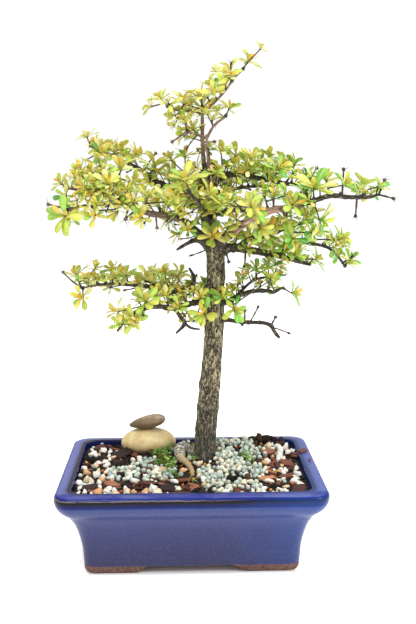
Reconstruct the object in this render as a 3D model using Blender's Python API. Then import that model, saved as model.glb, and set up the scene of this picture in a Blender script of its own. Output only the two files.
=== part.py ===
"""A black olive bonsai in a glazed clay pot with two stacked stones, every piece at its real size.

Units are metres with +Z up. The tables of routes and places are in millimetres, measured from the middle of
the pot on the table: +X right, +Y away from the viewer.
"""

import math
import random

import bmesh
import bpy
from mathutils import Matrix, Vector
from mathutils.bvhtree import BVHTree

MM = 0.001
GAP = 0.3 * MM  # between pieces that touch

# The pot
POT_WIDTH = 208.4 * MM
POT_DEPTH = 149 * MM
POT_CORNER = 13 * MM
CORNER_STEPS = 3
FOOT_HEIGHT = 6 * MM
FOOT_RING = 10 * MM  # how wide the foot is, from the wall's outside to the pocket under the floor
FOOT_INSET = 22 * MM
FRONT_ARCH = (-36, 32)  # the gap between the front feet, along X at its top
SIDE_ARCH = (-26, 26)
ARCH_SLANT = 8 * MM  # each end of an arch leans outwards by this much at the table
DRAIN_PLACES = (-45, 45)
DRAIN_RADIUS = 7 * MM
DRAIN_SIDES = 14
# How far the wall stands in from the rim's outline, and its height
OUTER_PROFILE = ((21.4, 0), (20.2, 1.5), (19.8, 5), (19.3, 13), (18.3, 23), (16.3, 32.5), (13.8, 40),
                 (9.6, 48), (6.4, 51.2), (3.7, 54), (1.4, 58), (0, 64.4), (0.6, 67.4), (2.6, 68.6))
CAVITY_PROFILE = ((30, 12), (27, 15), (24.8, 30), (21, 43), (16.5, 52), (13.2, 58.5), (12, 64), (12, 69))
RIM_INNER_HEIGHT = 69
MOUTH_CLEAR = 75  # the cavity is cut up to here, well above the rim

# The screens over the drain holes
SCREEN_SIZE = 26 * MM
SCREEN_BAR = 1.2 * MM
SCREEN_BARS = 3

# The soil
SOIL_EDGE_HEIGHT = 63
SOIL_EDGE_INSET = 12.6  # from the pot's outline to the soil's edge
MOUNDS = ((11, 22, 27, 4.2), (48, 46, 24, 4.2), (-36, 44, 24, 3.0))  # x, y, spread and rise of each mound
SOCKET_PLAY = 0.45  # a plain hole in the soil is this much wider all round
FOOT_BED_HEIGHT = 4
RELIEF_PITCH = 10.4  # the grid of humps that stand for the packed grains
RELIEF_RISE = 4.4
RELIEF_INSET = 13.6
RELIEF_CORNER = 10
RELIEF_DEPTH = 4  # how far the sheet of humps goes down into the soil
LUMP_COUNT = 19
LUMP_SIZES = (2.4, 3.6)
LUMP_FIELD = (82, 55)  # lumps lie this far out from the middle at most
CHIP_SHARE = 0.4  # of the loose lumps are flat bark chips

# The wood, as points of x, y, z and radius along each limb
ROUTES = {
    "trunk": ((11, 20, 44, 9.2), (11.6, 20, 60, 10.4), (12, 20, 70, 10.2), (12.8, 20, 80, 9.2),
              (13, 19, 96, 9.1), (15, 18, 118, 8.6), (17, 18, 144, 8.2), (19, 18, 169, 7.9),
              (20, 18, 199, 7.8), (21, 18, 223, 7.5), (20, 18, 242, 7.4), (16, 18, 260, 6.8),
              (14, 19, 278, 6.2), (14, 20, 290, 6.3), (15.5, 20, 298, 7.6), (16, 20, 304, 8),
              (16, 20, 310, 5.6), (15, 20, 314, 2.6)),
    "surface_root": ((8, 20, 68, 5), (0.5, 24, 71.2, 4.9), (-7, 23.5, 75, 4.9), (-9.4, 16.5, 75, 4.8),
                     (-9.2, 10, 72.8, 4.4), (-7.8, 4.5, 71.4, 3.3), (-4.6, -0.5, 70.6, 2.4),
                     (-1.6, -6, 69.2, 2.1), (0.6, -12, 67.2, 1.9), (1.2, -16.5, 63.4, 1.7),
                     (1.2, -18.5, 58.5, 1.6), (1.2, -19, 54, 1.5)),
    "left_main": ((18, 18, 246, 5.2), (7, 13, 257, 4), (-4, 7, 267, 3), (-16, 2, 272, 2.5),
                  (-32, -4, 275, 2.3), (-43, -9, 279, 2.1), (-62, -16, 289, 1.6), (-83, -20, 293, 1.1),
                  (-95, -22, 295, 0.8)),
    "left_low": ((-48, -11, 282, 1.8), (-63, -18, 283, 1.4), (-84, -27, 281, 1.1), (-92, -31, 279, 0.9)),
    "left_up": ((-41, -8, 279, 1.8), (-48, -2, 289, 1.5), (-57, 2, 296, 1.3), (-70, 3, 301, 1.1),
                (-84, 4, 300, 0.8)),
    "left_top": ((13, 20, 291, 4.2), (0, 28, 294, 2.9), (-17, 36, 295, 2.6), (-28, 41, 298, 3.4),
                 (-37, 43, 306, 2), (-45, 45, 311, 1.7), (-54, 46, 315, 1.4), (-68, 49, 322, 1.1),
                 (-82, 51, 327, 0.9)),
    "right_main": ((19, 18, 244, 5), (25, 10, 252, 4.2), (34, 2, 261, 3.6), (45, -6, 269, 3.2),
                   (60, -14, 277, 2.9), (74, -18, 280, 2.4), (90, -22, 284, 2.1), (106, -20, 289, 1.9),
                   (120, -20, 288, 1.7), (135, -22, 288, 1.4), (143, -23, 290, 1)),
    "right_top": ((14, 20, 295, 4.2), (26, 24, 303, 2.9), (38, 28, 305, 2.4), (56, 32, 302, 2),
                  (76, 34, 298, 1.7), (96, 34, 295, 1.2)),
    "right_mid": ((20, 18, 243, 4.6), (34, 20, 246, 3.8), (47, 22, 244, 3.2), (62, 24, 241, 2.8),
                  (76, 25, 238, 2.2), (89, 26, 234, 1.8), (100, 26, 231, 1.3)),
    "right_mid_up": ((39, 20, 246, 2.6), (49, 14, 254, 2.2), (62, 8, 256, 1.9), (71, 2, 261, 1.6),
                     (82, -5, 266, 1.4), (95, -13, 269, 1)),
    "right_mid_side": ((72, 25, 239, 2), (80, 28, 244, 1.7), (88, 30, 249, 1.5), (112, 28, 246, 1.3),
                       (123, 26, 237, 1.1), (129, 26, 229, 0.9)),
    "left_lower": ((17, 18, 201, 3.2), (4, 12, 202, 2.5), (-6, 6, 200, 2.4), (-16, 2, 199, 2.4),
                   (-25, -2, 201, 1.9), (-36, -6, 200, 1.7), (-47, -10, 196, 1.4), (-53, -12, 190, 1.1),
                   (-58, -13, 183, 1)),
    "left_lower_up": ((-10, 4, 200, 2.3), (-16, 10, 208, 2.2), (-25, 16, 213, 2), (-48, 24, 215, 1.6),
                      (-70, 28, 215, 1.2), (-90, 28, 212, 0.8)),
    "left_lower_back": ((18, 18, 206, 3), (8, 34, 207, 2.2), (-3, 44, 209, 1.9), (-18, 52, 210, 1.5),
                        (-35, 58, 213, 1)),
    "left_stub": ((-20, 12, 210, 2), (-7, 18, 211, 2), (1, 22, 214, 1.9), (3, 24, 221, 1.6),
                  (-1, 24, 229, 1)),
    "left_knot": ((-13, 3, 199, 1.8), (-9, 0, 193, 1.4), (-5, -2, 187, 1.7), (-12, -2, 179, 0.9)),
    "left_knot_twig": ((-6, -2, 188, 1.3), (0, -4, 184, 1), (7, -6, 183, 0.9)),
    "right_lower": ((20, 18, 199, 3), (29, 12, 202, 2.3), (37, 8, 207, 2), (48, 3, 212, 1.8),
                    (62, 0, 213, 1.6), (66, -1, 212, 1.6), (73, -3, 216, 1)),
    "right_lower_up": ((37, 8, 207, 1.6), (45, 12, 215, 1.2), (53, 16, 220, 1), (64, 18, 222, 0.9),
                       (79, 22, 223, 0.8)),
    "right_dead": ((20, 18, 189, 3), (33, 12, 187, 1.8), (46, 8, 186, 1.7), (58, 6, 186, 1.5),
                   (65, 4, 184, 1.7), (68, 3, 179, 1.5), (72, 2, 174, 1.2)),
    "fork_stub": ((15, 18, 249, 2.6), (5, 8, 253, 2.1), (-2, 4, 251, 1.6), (-11, 0, 246, 0.9)),
    "leader": ((14, 20, 296, 3), (11, 22, 316, 1.7), (10, 22, 336, 1.5), (10, 22, 357, 1.2)),
    "leader_two": ((14, 19, 296, 3), (15, 16, 310, 1.5), (14, 14, 324, 1.3), (13, 13, 336, 1.1)),
    "leader_two_left": ((14, 14, 333, 1.2), (5, 11, 336, 1), (-2, 9, 338, 0.9)),
    "leader_two_right": ((13, 14, 333, 1.1), (19, 15, 343, 1), (28, 18, 350, 0.9)),
    "apex_left": ((10, 22, 352, 1.2), (2, 20, 355, 1), (-6, 18, 354, 0.9), (-17, 14, 357, 0.7)),
    "apex_right": ((10, 22, 353, 1.2), (18, 24, 360, 1), (24, 24, 366, 1), (30, 24, 373, 1),
                   (35, 24, 380, 0.9), (42, 24, 387, 0.7)),
    "front_up": ((14, 18, 262, 3), (11, -2, 274, 2), (5, -20, 284, 1.5), (-1, -34, 292, 1)),
    "front_right": ((14, 18, 271, 3), (26, -4, 276, 1.7), (36, -24, 278, 1.3), (44, -36, 277, 0.9)),
    "back_left": ((14, 20, 283, 3.4), (5, 42, 287, 2.2), (-9, 56, 290, 1.4)),
    "back_right": ((15, 20, 286, 3.2), (28, 42, 291, 1.9), (46, 54, 294, 1.4), (61, 58, 295, 1)),
}
THICK_LIMBS = ("trunk", "surface_root")
THICK_SIDES = 8
LIMB_SIDES = 5
TWIG_SIDES = 4
SPUR_SIDES = 3
TWIG_RADIUS = 2.3  # a limb that starts thinner than this has the fewer sides

# Bare twigs: the limb that each grows from, and its tip
BARE_TWIGS = (
    ("right_top", (104, 30, 310)), ("right_top", (94, 34, 304)), ("right_main", (117, -16, 309)),
    ("right_main", (148, -20, 301)), ("right_main", (154, -26, 287)), ("right_main", (128, -12, 273)),
    ("left_low", (-106, -33, 283)), ("left_main", (-50, -18, 271)),
    ("leader", (20, 26, 331)), ("right_mid", (44, 16, 231)), ("right_mid", (31, 13, 235)),
    ("right_dead", (44, 6, 196)), ("right_dead", (68, -2, 192)), ("leader_two_left", (-14, 6, 330)),
    ("left_top", (-28, 46, 322)), ("left_main", (-26, -10, 264)), ("left_lower_up", (-104, 22, 226)),
    ("right_mid_side", (134, 22, 238)), ("back_right", (70, 66, 290)),
)
TWIG_RADII = (0.95, 0.7)  # at the foot and below the knob
KNOB_RADIUS = 1.5
SPINE_LENGTH = 5
SPINE_RADIUS = 0.5
SPINE_POINT = 0.12  # radius of a spine's point
SPINES_A_KNOB = 2

# Leafy shoots: the limb that each grows from, then the place and size of each rosette of leaves on it
SHOOTS = (
    ("apex_left", ((-22, 14, 362, 0.9), (-30, 20, 358, 0.8))),
    ("apex_left", ((-5, 16, 360, 1.0), (1, 27, 366, 0.6))),
    ("leader", ((9, 20, 364, 1.1),)),
    ("leader_two_left", ((-4, 8, 344, 1.0),)),
    ("leader_two_right", ((31, 19, 356, 0.95),)),
    ("apex_right", ((20, 31, 373, 0.8), (18, 14, 368, 0.8))),
    ("apex_right", ((31, 17, 380, 0.95), (22, 30, 385, 0.6))),
    ("apex_right", ((46, 25, 393, 0.9), (56, 26, 403, 0.5))),
    ("right_top", ((25, 20, 322, 1.0), (38, 38, 320, 1.0))),
    ("right_top", ((49, 25, 316, 1.1), (58, 48, 315, 0.9))),
    ("right_top", ((66, 38, 318, 1.0), (78, 50, 314, 0.9))),
    ("right_top", ((71, 20, 308, 1.1),)),
    ("right_top", ((86, 36, 312, 1.0), (100, 26, 301, 0.8))),
    ("left_top", ((-85, 51, 335, 0.9), (-74, 40, 322, 0.9))),
    ("left_top", ((-60, 57, 325, 0.9), (-46, 52, 320, 1.0))),
    ("left_top", ((-29, 35, 311, 1.15), (-16, 50, 303, 1.0))),
    ("left_top", ((-4, 24, 318, 1.05), (-15, 38, 316, 0.9))),
    ("left_up", ((-54, -1, 308, 1.25), (-46, 9, 298, 0.9))),
    ("left_up", ((-71, 12, 311, 1.0), (-86, 7, 306, 1.0))),
    ("left_up", ((-72, -7, 299, 0.9),)),
    ("left_main", ((-33, -9, 287, 1.0), (-19, -12, 284, 1.0))),
    ("left_main", ((-26, 13, 286, 1.0),)),
    ("left_main", ((-3, -5, 283, 1.0),)),
    ("left_main", ((-62, -25, 297, 0.95), (-78, -30, 294, 0.9))),
    ("left_low", ((-93, -38, 275, 1.15),)),
    ("left_low", ((-72, -28, 275, 0.8), (-57, -24, 279, 0.8))),
    ("front_up", ((-4, -40, 300, 1.25),)),
    ("front_up", ((13, -22, 289, 1.0), (17, -10, 286, 0.8))),
    ("trunk", ((17, -1, 256, 1.0),)),
    ("front_right", ((29, -22, 284, 0.9), (44, -42, 281, 1.0))),
    ("right_main", ((53, -15, 264, 0.9),)),
    ("right_main", ((57, -8, 290, 1.0), (71, -24, 289, 0.95))),
    ("right_main", ((92, -29, 294, 1.35),)),
    ("right_main", ((98, -24, 271, 1.15),)),
    ("right_main", ((105, -10, 300, 0.9), (116, -22, 297, 1.0))),
    ("right_main", ((132, -18, 296, 1.0), (141, -29, 296, 0.8))),
    ("right_mid_up", ((79, -12, 256, 0.95), (92, -20, 261, 0.8))),
    ("right_mid_side", ((104, 36, 255, 1.0), (122, 22, 252, 1.0))),
    ("right_mid_side", ((134, 34, 234, 0.8),)),
    ("right_mid", ((64, 18, 249, 0.9), (50, 32, 253, 1.0))),
    ("right_mid", ((84, 16, 239, 0.9), (102, 18, 236, 0.9))),
    ("left_lower_up", ((-94, 33, 220, 1.0), (-80, 34, 226, 1.0))),
    ("left_lower_up", ((-88, 20, 206, 0.9),)),
    ("left_lower_up", ((-52, 18, 223, 1.0), (-63, 34, 225, 0.9))),
    ("left_lower_back", ((-21, 44, 220, 1.1), (-9, 55, 219, 0.9))),
    ("left_lower", ((-35, -14, 206, 1.2), (-56, -20, 200, 0.9))),
    ("trunk", ((11, 0, 194, 1.1), (25, -1, 207, 0.95))),
    ("right_lower", ((34, 0, 198, 0.9), (62, -8, 222, 0.9))),
    ("right_lower", ((80, -6, 212, 0.9),)),
    ("right_lower_up", ((53, 10, 228, 0.9), (70, 26, 231, 0.9))),
    ("back_left", ((-9, 64, 299, 1.0), (-18, 58, 283, 0.9))),
    ("back_right", ((48, 62, 304, 1.0), (64, 50, 303, 0.9))),
)
TRUNK_MIDDLE = (14 * MM, 18 * MM)  # the line that the crown opens out from
FORK_SHARE = 0.35  # of the way to the first rosette, where the side stem leaves
LEAF_LENGTH = 13.2
LEAF_WIDTH = 6.4
LEAF_THICKNESS = 0.65
LEAF_SECTIONS = ((0.42, 0.60, 0.02), (0.78, 1.0, 0))  # share of the length, share of the width, rise
LEAF_FOOT = (0.1, 0.22, 0)
LEAF_TIP_RISE = -0.09  # the tip bends down by this share of the length
BUD_RADIUS = 1.0
BUD_HEIGHT = 1.3
STEM_RADIUS = 0.8
SPUR_RADII = (1.8, 1.1)
SPUR_REACH = 1.6  # how far a spur stands out of its limb
LEAF_CLEARANCE = 0.3
LEAF_TRIES = 12
FULL_ROSETTE = 0.82  # a rosette larger than this has a leaf on all four sides of its bud

# The stones and the moss
LOWER_STONE_SIZE = (47.6, 30, 25.6)
LOWER_STONE_PLACE = (-36.7, 45.5, 73)
UPPER_STONE_SIZE = (32.4, 21, 10)
UPPER_STONE_PLACE = (-37.6, 46, 105)  # where it starts before it is lowered onto the other
UPPER_STONE_TILT = math.radians(-10.5)
UPPER_STONE_TAPER = 0.24  # its right end is this much thicker than its middle, its left end thinner
MOSS_PLACE = (-23, 17)
MOSS_SIZE = (6.8, 13.4, 5.4)
MOSS_FLOOR = 66.0
MOSS_SIDES = 14
SETTLE_STEP = 0.05 * MM
SETTLE_STEPS = 400


def millimetres(values):
    return Vector(values[:3]) * MM


def material(name, colour, roughness):
    made = bpy.data.materials.new(name)
    made.use_nodes = True
    shader = made.node_tree.nodes["Principled BSDF"]
    shader.inputs["Base Color"].default_value = (*colour, 1)
    shader.inputs["Roughness"].default_value = roughness
    shader.inputs["Metallic"].default_value = 0
    return made


def add_object(name, shape, finish=None):
    """The object of a bmesh, which is used up."""
    mesh = bpy.data.meshes.new(name)
    shape.to_mesh(mesh)
    shape.free()
    made = bpy.data.objects.new(name, mesh)
    bpy.context.scene.collection.objects.link(made)
    if finish:
        mesh.materials.append(finish)
    return made


def remove_object(thing):
    mesh = thing.data
    bpy.data.objects.remove(thing, do_unlink=True)
    bpy.data.meshes.remove(mesh)


def combine(base, others, operation, solver="MANIFOLD"):
    """One Boolean of an object with a collection of others, applied, with the others then removed."""
    helpers = bpy.data.collections.new("helpers")
    bpy.context.scene.collection.children.link(helpers)
    for other in others:
        bpy.context.scene.collection.objects.unlink(other)
        helpers.objects.link(other)
    step = base.modifiers.new(operation.lower(), "BOOLEAN")
    step.operation = operation
    step.solver = solver
    step.operand_type = "COLLECTION"
    step.collection = helpers
    graph = bpy.context.evaluated_depsgraph_get()
    result = bpy.data.meshes.new_from_object(base.evaluated_get(graph))
    base.modifiers.clear()
    old = base.data
    base.data = result
    bpy.data.meshes.remove(old)
    for other in others:
        remove_object(other)
    bpy.data.collections.remove(helpers)
    keep_main_body(base)
    return base


def islands(shape):
    """The separate shells of a bmesh, as lists of faces."""
    left = set(shape.faces)
    found = []
    while left:
        shell = []
        front = [left.pop()]
        while front:
            face = front.pop()
            shell.append(face)
            for edge in face.edges:
                for beside in edge.link_faces:
                    if beside in left:
                        left.remove(beside)
                        front.append(beside)
        found.append(shell)
    return found


def keep_main_body(thing):
    """Drops loose scraps and fills sealed hollows: only the largest shell stays."""
    shape = bmesh.new()
    shape.from_mesh(thing.data)
    shells = sorted(islands(shape), key=len)
    spare = [face for shell in shells[:-1] for face in shell]
    if spare:
        print(thing.name, "drops", [len(shell) for shell in shells[:-1]], "faces")
    bmesh.ops.delete(shape, geom=spare, context="FACES")
    shape.to_mesh(thing.data)
    shape.free()


def bridge(shape, lower, upper):
    count = len(lower)
    for index in range(count):
        after = (index + 1) % count
        shape.faces.new((lower[index], lower[after], upper[after], upper[index]))


def closed_rings(shape, rings):
    """Skins a stack of rings and closes both its ends."""
    for lower, upper in zip(rings, rings[1:]):
        bridge(shape, lower, upper)
    shape.faces.new(reversed(rings[0]))
    shape.faces.new(rings[-1])
    return shape


def rounded_ring(shape, half_x, half_y, radius, height):
    """Points round a rectangle with arcs for corners, anticlockwise seen from above."""
    ring = []
    for corner, (side_x, side_y) in enumerate(((1, 1), (-1, 1), (-1, -1), (1, -1))):
        for step in range(CORNER_STEPS + 1):
            angle = math.radians(90) * (corner + step / CORNER_STEPS)
            x = side_x * (half_x - radius) + radius * math.cos(angle)
            y = side_y * (half_y - radius) + radius * math.sin(angle)
            ring.append(shape.verts.new((x, y, height)))
    return ring


def stacked_rings(profile, grow=0.0):
    """A closed body through rounded rectangles, each as far inside the pot's outline as the profile says."""
    shape = bmesh.new()
    rings = []
    for inset, height in profile:
        half_x = POT_WIDTH / 2 - inset * MM + grow
        half_y = POT_DEPTH / 2 - inset * MM + grow
        rings.append(rounded_ring(shape, half_x, half_y, POT_CORNER - 0.2 * inset * MM, height * MM))
    return closed_rings(shape, rings)


def prism(section, start, end, along_x):
    """A section of (across, height) points, drawn out from start to end along X or Y."""
    shape = bmesh.new()
    ends = []
    for place in (start, end):
        if along_x:
            ends.append([shape.verts.new((place, across, height)) for across, height in section])
        else:
            ends.append([shape.verts.new((across, place, height)) for across, height in section])
    bridge(shape, *ends)
    shape.faces.new(reversed(ends[0]))
    shape.faces.new(ends[1])
    bmesh.ops.recalc_face_normals(shape, faces=shape.faces)
    return shape


def arch_section(arch):
    """The gap between two feet: wider at the table than under the wall."""
    left = arch[0] * MM
    right = arch[1] * MM
    top = FOOT_HEIGHT - 0.4 * MM
    shoulder = 2 * MM
    return ((left - ARCH_SLANT, -MM), (right + ARCH_SLANT, -MM), (right + shoulder, top - shoulder),
            (right - shoulder, top), (left + shoulder, top), (left - shoulder, top - shoulder))


def cylinder(place, radius, bottom, top, sides):
    shape = bmesh.new()
    turn = Matrix.Translation((place[0], place[1], (bottom + top) / 2))
    bmesh.ops.create_cone(shape, cap_ends=True, segments=sides, radius1=radius, radius2=radius,
                          depth=top - bottom, matrix=turn)
    return shape


def box(centre, size, turn=None):
    shape = bmesh.new()
    place = Matrix.Translation(centre)
    if turn:
        place = place @ turn
    bmesh.ops.create_cube(shape, size=1, matrix=place @ Matrix.Diagonal((*size, 1)))
    return shape


def make_pot(clay):
    pot = add_object("pot", stacked_rings(OUTER_PROFILE + ((12, RIM_INNER_HEIGHT),)), clay)
    cavity = CAVITY_PROFILE + ((12, MOUTH_CLEAR),)
    pocket = ((FOOT_INSET + FOOT_RING) / MM, -2), ((FOOT_INSET + FOOT_RING) / MM, FOOT_HEIGHT / MM)
    reach = POT_WIDTH
    cutters = [
        add_object("cavity_cutter", stacked_rings(cavity)),
        add_object("pocket_cutter", stacked_rings(pocket)),
        add_object("front_arch_cutter", prism(arch_section(FRONT_ARCH), -reach, reach, along_x=False)),
        add_object("side_arch_cutter", prism(arch_section(SIDE_ARCH), -reach, reach, along_x=True)),
    ]
    for place in DRAIN_PLACES:
        hole = cylinder((place * MM, 0), DRAIN_RADIUS, 2 * MM, 20 * MM, DRAIN_SIDES)
        cutters.append(add_object("drain_cutter", hole))
    combine(pot, cutters, "DIFFERENCE")
    pot.data.shade_smooth()
    pot.data.set_sharp_from_angle(angle=math.radians(35))
    return pot


def make_screen(name, centre_x, plastic):
    """A square of open mesh over a drain hole, under the soil."""
    height = CAVITY_PROFILE[0][1] * MM + GAP + SCREEN_BAR / 2
    pitch = (SCREEN_SIZE - SCREEN_BAR) / (SCREEN_BARS - 1)
    bars = []
    for index in range(SCREEN_BARS):
        offset = (index - (SCREEN_BARS - 1) / 2) * pitch
        along = (SCREEN_SIZE, SCREEN_BAR, SCREEN_BAR)
        across = (SCREEN_BAR, SCREEN_SIZE, SCREEN_BAR)
        bars.append(add_object(name, box((centre_x * MM, offset, height), along), plastic))
        bars.append(add_object(name, box((centre_x * MM + offset, 0, height), across), plastic))
    screen = combine(bars[0], bars[1:], "UNION")
    screen.name = name
    return screen


def soil_height(x, y):
    """The soil's surface over a place, all in millimetres."""
    height = SOIL_EDGE_HEIGHT
    for mound_x, mound_y, spread, rise in MOUNDS:
        height += rise * math.exp(-((x - mound_x) ** 2 + (y - mound_y) ** 2) / (2 * spread**2))
    return height


def soil_body():
    """Fills the cavity a hair inside its wall, up to the edge of the surface."""
    profile = [(inset + GAP / MM, height) for inset, height in CAVITY_PROFILE if height < SOIL_EDGE_HEIGHT]
    profile[0] = (profile[0][0], profile[0][1] + GAP / MM)
    profile.append((SOIL_EDGE_INSET, SOIL_EDGE_HEIGHT))
    return stacked_rings(profile)


def held_in_corner(x, y, half_x, half_y, radius):
    """Pulls a point back inside a rectangle with round corners."""
    over = Vector((max(abs(x) - half_x + radius, 0), max(abs(y) - half_y + radius, 0)))
    if over.length <= radius:
        return x, y
    over *= 1 - radius / over.length
    return x - math.copysign(over.x, x), y - math.copysign(over.y, y)


def soil_relief(rng):
    """The packed grains of the surface as a sheet of humps, closed below."""
    half_x = POT_WIDTH / MM / 2 - RELIEF_INSET
    half_y = POT_DEPTH / MM / 2 - RELIEF_INSET
    columns = round(2 * half_x / RELIEF_PITCH)
    rows = round(2 * half_y / RELIEF_PITCH)
    shape = bmesh.new()
    bmesh.ops.create_grid(shape, x_segments=columns, y_segments=rows, size=1)
    for point in sorted(shape.verts, key=lambda vertex: (round(vertex.co.x, 3), round(vertex.co.y, 3))):
        edge = point.is_boundary
        x = point.co.x * half_x
        y = point.co.y * half_y
        hump = rng.random()
        if not edge:
            x += rng.uniform(-0.3, 0.3) * RELIEF_PITCH
            y += rng.uniform(-0.3, 0.3) * RELIEF_PITCH
        x, y = held_in_corner(x, y, half_x, half_y, RELIEF_CORNER)
        height = soil_height(x, y) + (0.4 if edge else hump * RELIEF_RISE)
        point.co = Vector((x, y, height)) * MM
    sides = bmesh.ops.extrude_face_region(shape, geom=list(shape.faces))
    for element in sides["geom"]:
        if isinstance(element, bmesh.types.BMVert):
            element.co.z = (SOIL_EDGE_HEIGHT - RELIEF_DEPTH) * MM
    bmesh.ops.recalc_face_normals(shape, faces=shape.faces)
    return shape


def soil_lumps(rng):
    """Loose pellets and bark chips on the surface."""
    lumps = []
    for _ in range(LUMP_COUNT):
        x = rng.uniform(-LUMP_FIELD[0], LUMP_FIELD[0])
        y = rng.uniform(-LUMP_FIELD[1], LUMP_FIELD[1])
        size = rng.uniform(*LUMP_SIZES)
        turn = Matrix.Rotation(rng.uniform(0, math.tau), 4, "Z")
        turn = turn @ Matrix.Rotation(rng.uniform(-0.4, 0.4), 4, "X")
        centre = Vector((x, y, soil_height(x, y) + 0.5 * RELIEF_RISE + 0.1 * size)) * MM
        if rng.random() < CHIP_SHARE:
            lumps.append(box(centre, (3.4 * size * MM, 2 * size * MM, 0.9 * size * MM), turn))
            continue
        lump = bmesh.new()
        place = Matrix.Translation(centre) @ turn @ Matrix.Diagonal((size * 1.15, size, size * 0.9, 1))
        bmesh.ops.create_icosphere(lump, subdivisions=1, radius=MM, matrix=place)
        lumps.append(lump)
    return lumps


def tube(points, radii, sides):
    """A closed tube along a route, each section square to it and turned no more than the bends ask."""
    shape = bmesh.new()
    rings = []
    across = None
    for index, point in enumerate(points):
        along = (points[min(index + 1, len(points) - 1)] - points[max(index - 1, 0)]).normalized()
        if across is None:
            across = along.orthogonal().normalized()
        across = (across - along * across.dot(along)).normalized()
        beside = along.cross(across)
        ring = []
        for side in range(sides):
            angle = math.tau * side / sides
            offset = (across * math.cos(angle) + beside * math.sin(angle)) * radii[index]
            ring.append(shape.verts.new(point + offset))
        if rings:
            bridge(shape, rings[-1], ring)
        rings.append(ring)
    shape.faces.new(reversed(rings[0]))
    shape.faces.new(rings[-1])
    return shape


def route_tube(name, grow=0.0, first=0, last=None):
    route = ROUTES[name][first:last]
    points = [millimetres(point) for point in route]
    radii = [(point[3] + grow) * MM for point in route]
    sides = THICK_SIDES if name in THICK_LIMBS else LIMB_SIDES
    if route[0][3] < TWIG_RADIUS:
        sides = TWIG_SIDES
    return tube(points, radii, sides)


def nearest_on_route(name, place):
    """The point of a limb's middle line nearest to a place, with the limb's radius there, in metres."""
    best = None
    route = ROUTES[name]
    for start, end in zip(route, route[1:]):
        a = millimetres(start)
        b = millimetres(end)
        share = (place - a).dot(b - a) / (b - a).length_squared
        share = min(max(share, 0), 1)
        point = a.lerp(b, share)
        distance = (point - place).length
        if best is None or distance < best[0]:
            best = (distance, point, (start[3] + (end[3] - start[3]) * share) * MM)
    return best[1], best[2]


def spine(start, direction):
    """A stiff pointed spine with three sides."""
    return tube([start, start + direction * SPINE_LENGTH * MM], [SPINE_RADIUS * MM, SPINE_POINT * MM], 3)


def bare_twig(limb, tip, rng):
    """A twig with no leaves: a thin stalk, a knob at its tip and a star of spines."""
    tip = millimetres(tip)
    root, _ = nearest_on_route(limb, tip)
    along = (tip - root).normalized()
    points = [root, tip - along * KNOB_RADIUS * 1.6 * MM, tip, tip + along * KNOB_RADIUS * MM]
    radii = [TWIG_RADII[0] * MM, TWIG_RADII[1] * MM, KNOB_RADIUS * MM, 0.6 * MM]
    pieces = [tube(points, radii, TWIG_SIDES)]
    across = along.orthogonal().normalized()
    first = rng.uniform(0, math.tau)
    for index in range(SPINES_A_KNOB):
        turn = Matrix.Rotation(first + index * math.tau / SPINES_A_KNOB, 3, along)
        direction = (turn @ across + along * 0.45).normalized()
        pieces.append(spine(tip, direction))
    return pieces


def leaf_rings(frame, size, grow=0.0, skip_base=False):
    """The corners of a leaf's sections, four to a ring, and the two points of its tip. The leaf is egg-shaped
    with the broad end outwards. grow swells it, for testing what it clears."""
    length = LEAF_LENGTH * size * MM
    width = LEAF_WIDTH * size * MM
    thick = (LEAF_THICKNESS / 2 + grow) * MM
    sections = LEAF_SECTIONS if skip_base else (LEAF_FOOT,) + LEAF_SECTIONS
    rings = []
    for along, across, rise in sections:
        half = width * across / 2 + grow * MM
        corners = ((-half, -thick), (half, -thick), (half, thick), (-half, thick))
        rings.append([frame @ Vector((along * length, side, rise * length + up)) for side, up in corners])
    end = length + grow * MM
    drop = LEAF_TIP_RISE * length
    tips = [frame @ Vector((end, 0, drop - thick)), frame @ Vector((end, 0, drop + thick))]
    return rings, tips


def draw_leaf(shape, base, rings, tips):
    """Skins a leaf outwards from a ring of four corners."""
    last = base
    for ring in rings:
        made = [shape.verts.new(corner) for corner in ring]
        bridge(shape, last, made)
        last = made
    low, high = (shape.verts.new(point) for point in tips)
    shape.faces.new((last[3], high, last[2]))
    shape.faces.new((last[1], low, last[0]))
    shape.faces.new((last[0], low, high, last[3]))
    shape.faces.new((last[1], last[2], high, low))


def loose_leaf(frame, size, grow=0.0, skip_base=False):
    """A leaf closed at its base, to test against what stands there."""
    shape = bmesh.new()
    rings, tips = leaf_rings(frame, size, grow, skip_base)
    base = [shape.verts.new(corner) for corner in rings[0]]
    shape.faces.new(reversed(base))
    draw_leaf(shape, base, rings[1:], tips)
    return shape


def leaf_frame(base, axis, out, lift):
    """Places a leaf: its base on the bud, drawn along out and raised towards the bud's axis by the lift."""
    along = (out * math.cos(lift) + axis * math.sin(lift)).normalized()
    up = (axis * math.cos(lift) - out * math.sin(lift)).normalized()
    side = up.cross(along)
    frame = Matrix((along, side, up)).transposed().to_4x4()
    frame.translation = base
    return frame


class Crowd:
    """What stands already, so that a new leaf or stem can be tested against it."""

    def __init__(self):
        self.items = []

    def add(self, shape, owner):
        centre, reach = self.ball(shape)
        self.items.append((centre, reach, BVHTree.FromBMesh(shape), owner))

    @staticmethod
    def ball(shape):
        points = [vertex.co for vertex in shape.verts]
        centre = sum(points, Vector()) / len(points)
        return centre, max((point - centre).length for point in points)

    def meets(self, shape, skip=()):
        """The owner of the first thing that a shape crosses, or nothing."""
        centre, reach = self.ball(shape)
        tree = BVHTree.FromBMesh(shape)
        for other_centre, other_reach, other, owner in self.items:
            if owner in skip or (centre - other_centre).length > reach + other_reach:
                continue
            if tree.overlap(other):
                return owner
        return None


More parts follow.
